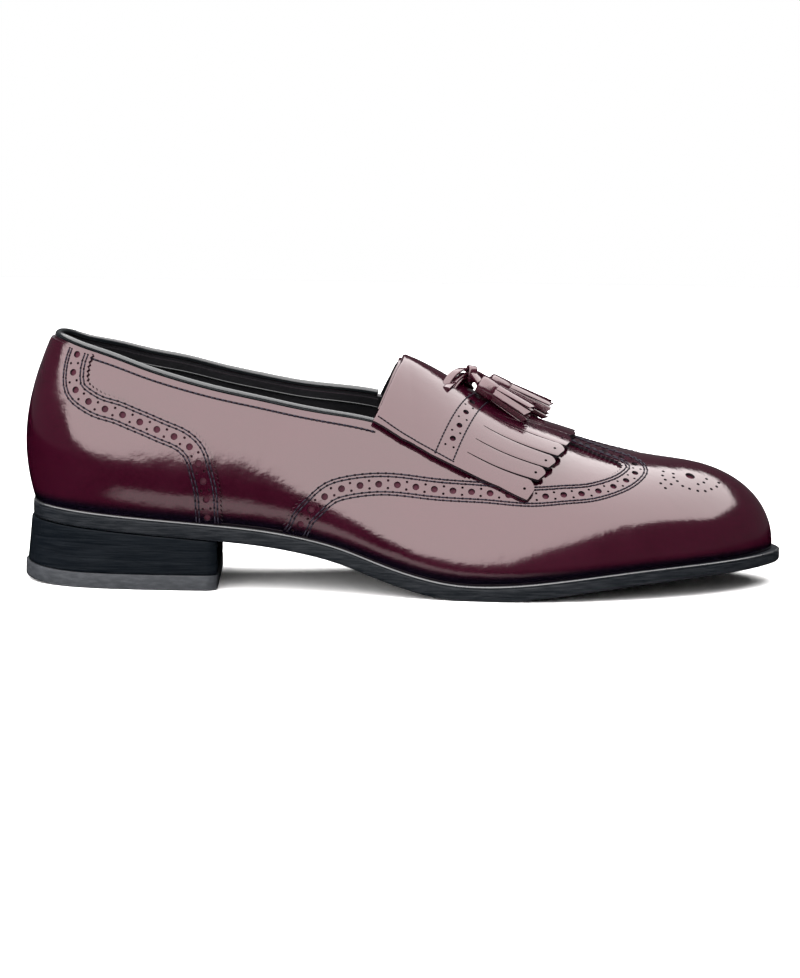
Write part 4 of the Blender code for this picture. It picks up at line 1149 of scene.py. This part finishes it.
# The sole, the heel and the insole, from the same outline as the CAD. Rows of (inset, drop) run
# from the top, rows of (inset, rise) from the tread or the floor. "block" is the heel block's
# side: share of its height from the top, inset; its edges are rounded, faint lines part the layers.
sole = {
    "points": 220, "closer": 0.28, "thickness": ((0.0, 6.6), (200.0, 6.6), (300.0, 5.1)),
    "fromTop": (
        (6.0, 0.0), (0.75, 0.0), (0.45, 0.04), (0.18, 0.2), (0.04, 0.5), (0.06, 0.85), (0.26, 1.05),
        (0.24, 1.2), (0.03, 1.45), (0.0, 1.9),
    ),
    "fromTread": ((0.0, 1.7), (0.02, 1.0), (0.22, 0.5), (0.55, 0.16), (1.0, 0.0), (6.0, 0.0)),
    "rim": (1, 4), "angle": 38.0,
    "heelFront": 78.8, "heelCorner": 5.0, "heelPoints": 150, "heelInset": 0.12, "heelReach": 0.6,
    "heelBack": (2.4, 0.9), "gap": 0.3,
    "block": (
        (0.0, 0.5), (0.004, 0.18), (0.016, 0.04), (0.04, 0.0), (0.34 - 0.012, 0.0), (0.34, 0.035),
        (0.34 + 0.012, 0.0), (0.66 - 0.012, 0.0), (0.66, 0.035), (0.66 + 0.012, 0.0), (0.975, 0.0),
        (0.994, 0.1), (1.0, 0.3),
    ),
    "liftBack": 0.0, "liftThickness": 6.2,
    "liftTop": ((0.5, 0.0), (0.14, 0.1), (0.0, 0.4)),
    "liftFoot": ((0.0, 0.9), (0.12, 0.4), (0.45, 0.08), (0.9, 0.0)),
    "wearLength": 26.0, "wearRise": 1.6,
    "insolePoints": 110, "insole": -2.6, "insoleRound": 0.5, "insoleUnder": 0.3, "insoleTop": 2.8,
}


def soleMargin(inset):
    return lambda station: np.interp(station, *zip(*last["soleMargin"])) - inset


def planOutline(margin, count):
    # the feather line moved out by margin(station), stations closer where the line turns
    turn = np.cos(np.linspace(0.0, np.pi, count))
    station = 0.5 * last["toe"] * (1.0 - turn * (1.0 - sole["closer"] + sole["closer"] * turn ** 2))
    sides = []
    for side in (-1.0, 1.0):
        whole = np.full(count, side)
        foot = feetAndHeads(station, whole)[0]
        line = foot[:, :2] + outwardInPlan(station, whole) * margin(station)[:, None]
        line[[0, -1], 1] = foot[[0, -1], 1]
        sides.append(line)
    return np.concatenate([sides[0], sides[1][-2:0:-1]])


def ringOf(line, height, offset=0.0):
    return np.column_stack([line, height(line[:, 0]) + offset])


def treadHeight(x):
    return np.maximum(seatHeight(x) - np.interp(x, *zip(*sole["thickness"])), 0.0)


def slabParts(rings, top, bottom, crossings=6, rim=(0, 0)):
    # side rings from top to bottom, with rows that run in to the middle line above and below
    inward = np.linspace(0.0, 1.0, crossings + 1)[1:]
    caps = []
    for ring, height in ((rings[0], top), (rings[-1], bottom)):
        low, high = ring[:, 0].min(), ring[:, 0].max()
        # a heel's middle line is short, a sole's starts 22 mm from each end
        reach = 0.35 * (high - low) if high - low < 120.0 else 22.0
        middle = np.stack([
            np.clip(ring[:, 0], low + reach, high - reach), np.interp(ring[:, 0], (low, high), (1.0, 6.0)),
        ], -1)
        caps.append([ringOf(ring[:, :2] * (1.0 - share) + middle * share, height) for share in inward])
    stack = np.stack(caps[0][::-1] + list(rings) + caps[1])
    count = stack.shape[1]
    triangles = gridTriangles(len(stack), count, closed=True)
    row = (triangles // count).min(1)
    groups = np.where(row < crossings, 1, np.where(row >= crossings + len(rings) - 1, 2, 0))
    groups = np.where((row >= crossings + rim[0]) & (row < crossings + rim[1]), 3, groups)
    return stack.reshape(-1, 3), triangles, groups


def buildOutsole():
    rings = []
    for profile, height, sign in ((sole["fromTop"], seatHeight, -1.0), (sole["fromTread"], treadHeight, 1.0)):
        for inset, offset in profile:
            rings.append(ringOf(planOutline(soleMargin(inset), sole["points"]), height, sign * offset))
    points, triangles, groups = slabParts(rings, seatHeight, treadHeight, rim=sole["rim"])
    piece = makePiece("outsoleLeather", points, triangles, [soleSide, soleTop, soleUnder, soleRim], groups,
                      angle=sole["angle"])
    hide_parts("outsole")


def heelOutline(back, inset):
    # the sole's outline behind the breast of the heel, its back end moved to back
    outline = planOutline(soleMargin(inset), sole["heelPoints"])
    behind = outline[outline[:, 0] < sole["heelFront"] - sole["heelCorner"]]
    outer, inner = behind[behind[:, 1] <= 0.0], behind[behind[:, 1] > 0.0]
    outer, inner = outer[np.argsort(outer[:, 0])], inner[np.argsort(-inner[:, 0])]
    radius, front = sole["heelCorner"] - inset, sole["heelFront"] - inset
    angle = np.radians(np.linspace(4.0, 86.0, 12))
    turn = np.column_stack([np.sin(angle), 1.0 - np.cos(angle)]) * radius
    outerTurn = np.column_stack([front - radius + turn[:, 0], outer[-1, 1] + turn[:, 1]])
    innerTurn = np.column_stack([front - radius + turn[::-1, 0], inner[0, 1] - turn[::-1, 1]])
    across = np.linspace(outerTurn[-1, 1], innerTurn[0, 1], 22)[1:-1]
    breast = np.column_stack([np.full(len(across), front), across])
    line = np.concatenate([outer, outerTurn, breast, innerTurn, inner])
    start, reach = line[:, 0].min(), sole["heelFront"] * sole["heelReach"]
    line[:, 0] += (back - start) * (1.0 - smoothStep(start, reach, line[:, 0]))
    return line


def heelFoot(x):
    return sole["wearRise"] * (np.clip(sole["wearLength"] - x, 0.0, None) / sole["wearLength"]) ** 2


def liftTop(x):
    return heelFoot(x) + sole["liftThickness"]


def blockTop(x):
    return seatHeight(x) - sole["thickness"][0][1] - sole["gap"]


def blockFoot(x):
    return liftTop(x) + sole["gap"]


def buildHeel():
    backTop, backFoot = sole["heelBack"]
    rings = []
    for share, inset in sole["block"]:
        line = heelOutline(backTop + (backFoot - backTop) * share + inset, sole["heelInset"] + inset)
        x = line[:, 0]
        rings.append(np.column_stack([line, blockTop(x) * (1.0 - share) + blockFoot(x) * share]))
    points, triangles, groups = slabParts(rings, blockTop, blockFoot)
    piece = makePiece("heelBlock", points, triangles, [heelSide], angle=sole["angle"])
    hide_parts("heel_block")

    rings = []
    for profile, height, sign in ((sole["liftTop"], liftTop, -1.0), (sole["liftFoot"], heelFoot, 1.0)):
        for inset, offset in profile:
            rings.append(ringOf(heelOutline(sole["liftBack"] + inset, inset), height, sign * offset))
    points, triangles, groups = slabParts(rings, liftTop, heelFoot)
    piece = makePiece("topLift", points, triangles, [liftRubber], angle=sole["angle"])
    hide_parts("top_lift")


def buildInsole():
    def top(x):
        return seatHeight(x) + sole["insoleTop"]

    def under(x):
        return seatHeight(x) + sole["insoleUnder"]

    curve = sole["insoleRound"]
    line, inner = (
        planOutline(lambda station: np.full_like(station, sole["insole"] - inset), sole["insolePoints"])
        for inset in (0.0, curve)
    )
    rings = [ringOf(inner, top), ringOf(line, top, -curve), ringOf(line, under)]
    points, triangles, groups = slabParts(rings, top, under)
    piece = makePiece("insoleLeather", points, triangles, [liningLeather], angle=sole["angle"])
    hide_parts("insole")


buildOutsole()
buildHeel()
buildInsole()
print("sole laid")

# The thong: a strap out of one slit, over itself, through a band and into the other slit. Paths
# are rows of (station, girth, height over the last).
thong = {
    "width": 1.55, "thick": 0.55, "sides": 14, "square": 4.0, "points": 44,
    "straps": (
        ((6.45, -0.135, 2.6), (6.465, -0.110, 4.5), (6.50, -0.080, 6.8), (6.56, -0.045, 8.6), (6.63, -0.005, 9.3),
         (6.69, 0.040, 9.0), (6.71, 0.085, 7.6), (6.70, 0.130, 5.2), (6.66, 0.170, 2.8)),
        ((6.51, -0.125, 2.8), (6.53, -0.100, 4.2), (6.57, -0.065, 5.8), (6.63, -0.020, 7.1), (6.68, 0.030, 7.4),
         (6.70, 0.080, 6.4), (6.70, 0.125, 4.4), (6.68, 0.155, 2.9)),
        ((6.54, -0.115, 2.8), (6.57, -0.085, 4.4), (6.61, -0.050, 5.4), (6.66, -0.010, 5.8), (6.70, 0.040, 5.6),
         (6.71, 0.085, 4.6), (6.70, 0.120, 2.9)),
        ((6.44, -0.165, 3.75), (6.50, -0.120, 4.0), (6.58, -0.060, 4.1), (6.66, 0.000, 4.1), (6.72, 0.050, 4.0),
         (6.76, 0.095, 3.75)),
    ),
    "band": (6.715, 0.000, 8.7), "bandForward": (1.0, 0.25, -0.15), "bandReach": (2.5, 2.9),
    "bandPoints": 41, "bandSquare": 3.2, "bandWide": 1.75, "bandThick": 0.6,
    "stubs": (((6.70, 0.000, 9.2), (6.75, -0.030, 9.0), (6.82, -0.062, 8.4)),
              ((6.71, 0.025, 9.4), (6.82, 0.045, 9.8), (6.94, 0.060, 9.4))),
    "stubPoints": 12, "stubWide": 1.75, "stubThick": 1.3, "stubSquare": 3.0,
}
# A tassel runs from one place to another. Its cap is rows of (share of the length, radius), and
# each ring of strips: count, turn of the first, share where it starts, width and height of the
# ring there, and at the tips.
tassels = {
    "rows": ((6.800, -0.062, 8.4, 7.52, -0.100, 6.3), (6.920, 0.060, 9.4, 7.76, 0.090, 7.2)),
    "cap": (
        (0.0, 1.5), (0.006, 3.0), (0.02, 3.8), (0.05, 4.15), (0.10, 4.3), (0.22, 4.35), (0.315, 4.3),
        (0.332, 4.1), (0.34, 3.7), (0.30, 2.2),
    ),
    "capSides": 40, "seam": 0.70, "rolled": 0.085,
    "layers": ((9, 0.15, 0.26, 3.4, 3.3, 6.6, 4.6), (6, 0.62, 0.26, 2.1, 2.0, 3.9, 2.6)),
    "strip": (1.30, 0.45), "stations": 12, "stripSides": 8, "opens": 0.85,
    "sway": 0.35, "shorter": 0.05, "slant": 0.9,
}


def curveOnLast(rows, count):
    rows = np.array(rows, float)
    knots = np.arange(len(rows))
    place = np.linspace(0.0, len(rows) - 1.0, count)
    columns = [throughPoints(list(zip(knots, rows[:, k])), place) for k in range(3)]
    return onLast(np.stack(columns[:2], -1), columns[2])


def buildThong():
    parts = []
    for rows in thong["straps"]:
        path = curveOnLast(rows, thong["points"])
        along = unit(np.gradient(path, axis=0))
        side = np.array([1.0, 0.0, 0.0]) - along * along[:, :1]
        side = unit(side)
        loops = loopAround(path, side, np.cross(along, side), thong["width"], thong["thick"], thong["sides"],
                           thong["square"])
        parts.append(tubeParts(path, loops[:, ::-1]))
    centre = onLast(np.array([thong["band"][:2]]), thong["band"][2])[0]
    wide, high = thong["bandReach"]
    forward = unit(np.array(thong["bandForward"]))
    sideways = unit(np.cross(np.array([0.0, 0.0, 1.0]), forward))
    upward = np.cross(forward, sideways)
    x, y = boxy(np.linspace(0.0, 2.0 * np.pi, thong["bandPoints"]), 2.0 / thong["bandSquare"])
    x, y = wide * x[:, None], high * y[:, None]
    path = centre + x * sideways + y * upward
    out = unit(x * sideways / wide ** 2 + y * upward / high ** 2)
    loops = loopAround(path, np.tile(forward, (len(path), 1)), out, thong["bandWide"], thong["bandThick"],
                       thong["sides"], thong["square"])
    parts.append(tubeParts(path, loops[:, ::-1]))
    for rows in thong["stubs"]:
        path = curveOnLast(rows, thong["stubPoints"])
        across, upward = framesAlong(path, np.array([0.0, 0.0, 1.0]))
        loops = loopAround(path, across, upward, thong["stubWide"], thong["stubThick"], thong["sides"],
                           thong["stubSquare"])
        parts.append(tubeParts(path, loops))
    piece = makePiece("thongLeather", *joinParts(parts), [tasselLeather], angle=50.0)
    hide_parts("thong")


def tasselStrips(start, end, girth, across, upward, layer):
    # a ring of strips that opens towards the tips; each sways a little and ends on a slant
    count, first, begin, wideIn, highIn, wideOut, highOut = layer
    angles = first + 2.0 * np.pi * np.arange(count) / count
    along = np.linspace(0.0, 1.0, tassels["stations"])
    opens = along ** tassels["opens"]
    wide, high = wideIn + (wideOut - wideIn) * opens, highIn + (highOut - highIn) * opens
    sway = tassels["sway"] * np.sin(5.0 * angles + 3.0 * girth)
    reach = 1.0 - tassels["shorter"] * np.abs(np.sin(3.0 * angles + 1.0))
    share = begin + (1.0 - begin) * along
    axis = unit(end - start)
    half, thick = tassels["strip"]
    x, y = boxy(turns(tassels["stripSides"]) + np.pi / tassels["stripSides"], 0.5)
    strips = []
    for k, angle in enumerate(angles):
        c, s = np.cos(angle), np.sin(angle)
        centre = start + (end - start) * (begin + (share - begin) * reach[k])[:, None]
        centre = centre + (wide * c + sway[k] * along ** 2)[:, None] * across
        centre = centre + (high * s)[:, None] * upward
        flat = unit((-wide * s)[:, None] * across + (high * c)[:, None] * upward)
        out = np.cross(flat, axis)
        loops = centre[:, None] + (half * x)[None, :, None] * flat[:, None]
        loops = loops + (thick * y)[None, :, None] * out[:, None]
        loops[-1] += axis * (tassels["slant"] * x)[:, None]
        strips.append(tubeParts(centre, loops))
    return strips


def buildTassels():
    share, radius = np.array(tassels["cap"]).T
    angle = turns(tassels["capSides"])
    # the cap is rolled: its radius grows a little round the turn and steps back at the seam
    rolled = 1.0 - tassels["rolled"] * ((angle / (2.0 * np.pi) + tassels["seam"]) % 1.0) ** 3
    size = radius[:, None] * rolled
    parts = []
    for row in tassels["rows"]:
        start, end = onLast(np.array([row[:2], row[3:5]]), np.array([row[2], row[5]]))
        path = start + (end - start) * share[:, None]
        axis = unit(end - start)
        across = unit(np.cross(axis, np.array([0.0, 0.0, 1.0])))
        upward = np.cross(across, axis)
        loops = path[:, None] + (size * np.cos(angle))[..., None] * across
        loops += (size * np.sin(angle))[..., None] * upward
        parts.append(tubeParts(path, loops))
        for layer in tassels["layers"]:
            parts += tasselStrips(start, end, row[1], across, upward, layer)
    piece = makePiece("tasselLeatherStrips", *joinParts(parts), [tasselLeather], angle=42.0)
    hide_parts("tassel_outer", "tassel_inner")


buildThong()
buildTassels()
sewn = sewStitches("stitches", stitches, thread, needleHoleShade)
print("tassels hung, stitches sewn:", sum(len(row[0]) for row in stitches))

# The studio: pale floor, one large soft light whose lower edge is drawn by azimuth, and a black
# table top that only reflections see. Lengths here are metres, the target is on the CAD's tables.
studio = {
    "floor": 1.15, "floorColours": ((0.86, 0.86, 0.86), (0.89, 0.89, 0.89)),
    "domeRadius": 1.4, "domeStrength": 6.7, "domeGrid": (25, 144), "lightColour": (1.0, 0.985, 0.98, 1.0),
    "lowerEdge": (
        (-180, 42), (-150, 42), (-120, 38), (-90, 24), (-80, 21), (-60, 18), (-50, 10), (-40, 6), (-30, 4),
        (-15, 4), (-8, 7), (-4, 9), (0, 13), (6, 22), (13, 29), (32, 41), (50, 49), (66, 48), (83, 36),
        (105, 35), (124, 40), (142, 42), (160, 42), (180, 42),
    ),
    "cardHalf": 3.0, "cardHeight": 0.001, "streakStrength": 1.7,
    # the dim strip's soft edges: axis, where it is dark, where it is full
    "streak": (("Y", -0.170, -0.142), ("Y", -0.090, -0.108), ("X", 0.11, -0.03), ("X", -0.165, -0.130)),
    "fillColour": (0.95, 0.97, 1.0, 1.0), "fill": 0.12,
    "target": (151.2, 0.0, 37.5), "distance": 1.9, "elevation": 8.5, "roll": 0.75,
    "lens": 172.75, "sensor": 36.0, "clipEnd": 50.0,
}


def flatMesh(name, points, faces, material):
    mesh = bpy.data.meshes.new(name)
    mesh.from_pydata(np.asarray(points).tolist(), [], np.asarray(faces).tolist())
    mesh.materials.append(material)
    piece = bpy.data.objects.new(name, mesh)
    bpy.context.scene.collection.objects.link(piece)
    return piece


def flatSquare(name, half, height, material):
    corners = [(x * half, y * half, height) for x, y in ((-1, -1), (1, -1), (1, 1), (-1, 1))]
    return flatMesh(name, corners, [(0, 1, 2, 3)], material)


def buildFloor():
    pale, paler = studio["floorColours"]
    material, tree, shader = newLook("paleFloor", {"colour": pale, "roughness": 0.9, "specular": 0.1})
    cloud = noiseNode(tree, tree.nodes.new("ShaderNodeTexCoord").outputs["Object"], 3.0, 2.0)
    mixColours(tree, cloud, 0.3, 0.7, pale, paler, shader.inputs["Base Color"])
    flatSquare("floor", studio["floor"], 0.0, material)


def emitter(name, strength):
    black = {"colour": (0.0, 0.0, 0.0), "roughness": 0.5, "specular": 0.0}
    material, tree, shader = newLook(name, black)
    shader.inputs["Emission Color"].default_value = studio["lightColour"]
    shader.inputs["Emission Strength"].default_value = strength
    return material, tree, shader


def buildDome():
    rows, columns = studio["domeGrid"]
    azimuth = np.linspace(-180.0, 180.0, columns + 1)[:-1]
    edge = np.interp(azimuth, *zip(*studio["lowerEdge"]))
    rise = np.linspace(0.0, 1.0, rows)[:, None]
    height = np.radians(edge + (90.0 - edge) * rise)
    around = np.radians(azimuth)[None]
    points = studio["domeRadius"] * np.stack([
        np.cos(height) * np.sin(around), -np.cos(height) * np.cos(around), np.sin(height),
    ], -1).reshape(-1, 3)
    light = emitter("softLight", studio["domeStrength"])[0]
    dome = flatMesh("softLight", points, gridTriangles(rows, columns, closed=True), light)
    dome.visible_camera = False
    dome.visible_shadow = False


def buildCard():
    # what the polished wall mirrors low down: a black table top with one dim strip before the shoe
    material, tree, shader = emitter("blackCard", 1.0)
    split = tree.nodes.new("ShaderNodeSeparateXYZ")
    tree.links.new(tree.nodes.new("ShaderNodeTexCoord").outputs["Object"], split.inputs["Vector"])
    product = None
    for axis, dark, full in studio["streak"]:
        edge = mapRange(tree, split.outputs[axis], dark, full, 0.0, 1.0)
        edge.interpolation_type = "SMOOTHSTEP"
        factor = edge.outputs["Result"]
        if product is not None:
            times = tree.nodes.new("ShaderNodeMath")
            times.operation = "MULTIPLY"
            tree.links.new(product, times.inputs[0])
            tree.links.new(factor, times.inputs[1])
            factor = times.outputs["Value"]
        product = factor
    bright = (studio["streakStrength"],) * 3
    mixColours(tree, product, 0.0, 1.0, (0.0, 0.0, 0.0), bright, shader.inputs["Emission Color"])
    card = flatSquare("blackCard", studio["cardHalf"], studio["cardHeight"], material)
    card.visible_camera = False
    card.visible_diffuse = False
    card.visible_shadow = False
    card.visible_transmission = False


def buildWorld():
    # white to the camera, a faint cool fill to everything else
    world = bpy.data.worlds.new("studio")
    bpy.context.scene.world = world
    world.use_nodes = True
    tree = world.node_tree
    tree.nodes.clear()
    mix, out = tree.nodes.new("ShaderNodeMixShader"), tree.nodes.new("ShaderNodeOutputWorld")
    tree.links.new(tree.nodes.new("ShaderNodeLightPath").outputs["Is Camera Ray"], mix.inputs["Fac"])
    for slot, colour, strength in ((1, studio["fillColour"], studio["fill"]), (2, (1.0, 1.0, 1.0, 1.0), 1.0)):
        shade = tree.nodes.new("ShaderNodeBackground")
        shade.inputs["Color"].default_value = colour
        shade.inputs["Strength"].default_value = strength
        tree.links.new(shade.outputs["Background"], mix.inputs[slot])
    tree.links.new(mix.outputs["Shader"], out.inputs["Surface"])


def buildCamera():
    data = bpy.data.cameras.new("camera")
    data.lens = studio["lens"]
    data.sensor_width = studio["sensor"]
    data.clip_end = studio["clipEnd"]
    camera = bpy.data.objects.new("camera", data)
    bpy.context.scene.collection.objects.link(camera)
    target = Vector(toWorld(np.array(studio["target"])).tolist())
    lift = np.radians(studio["elevation"])
    camera.location = target + Vector((0.0, -np.cos(lift), np.sin(lift))) * studio["distance"]
    facing = (target - camera.location).to_track_quat("-Z", "Y").to_matrix()
    camera.rotation_euler = (facing @ Matrix.Rotation(np.radians(studio["roll"]), 3, "Z")).to_euler()
    bpy.context.scene.camera = camera


buildFloor()
buildDome()
buildCard()
buildWorld()
buildCamera()
bpy.context.scene.view_settings.view_transform = "Standard"
bpy.context.view_layer.update()
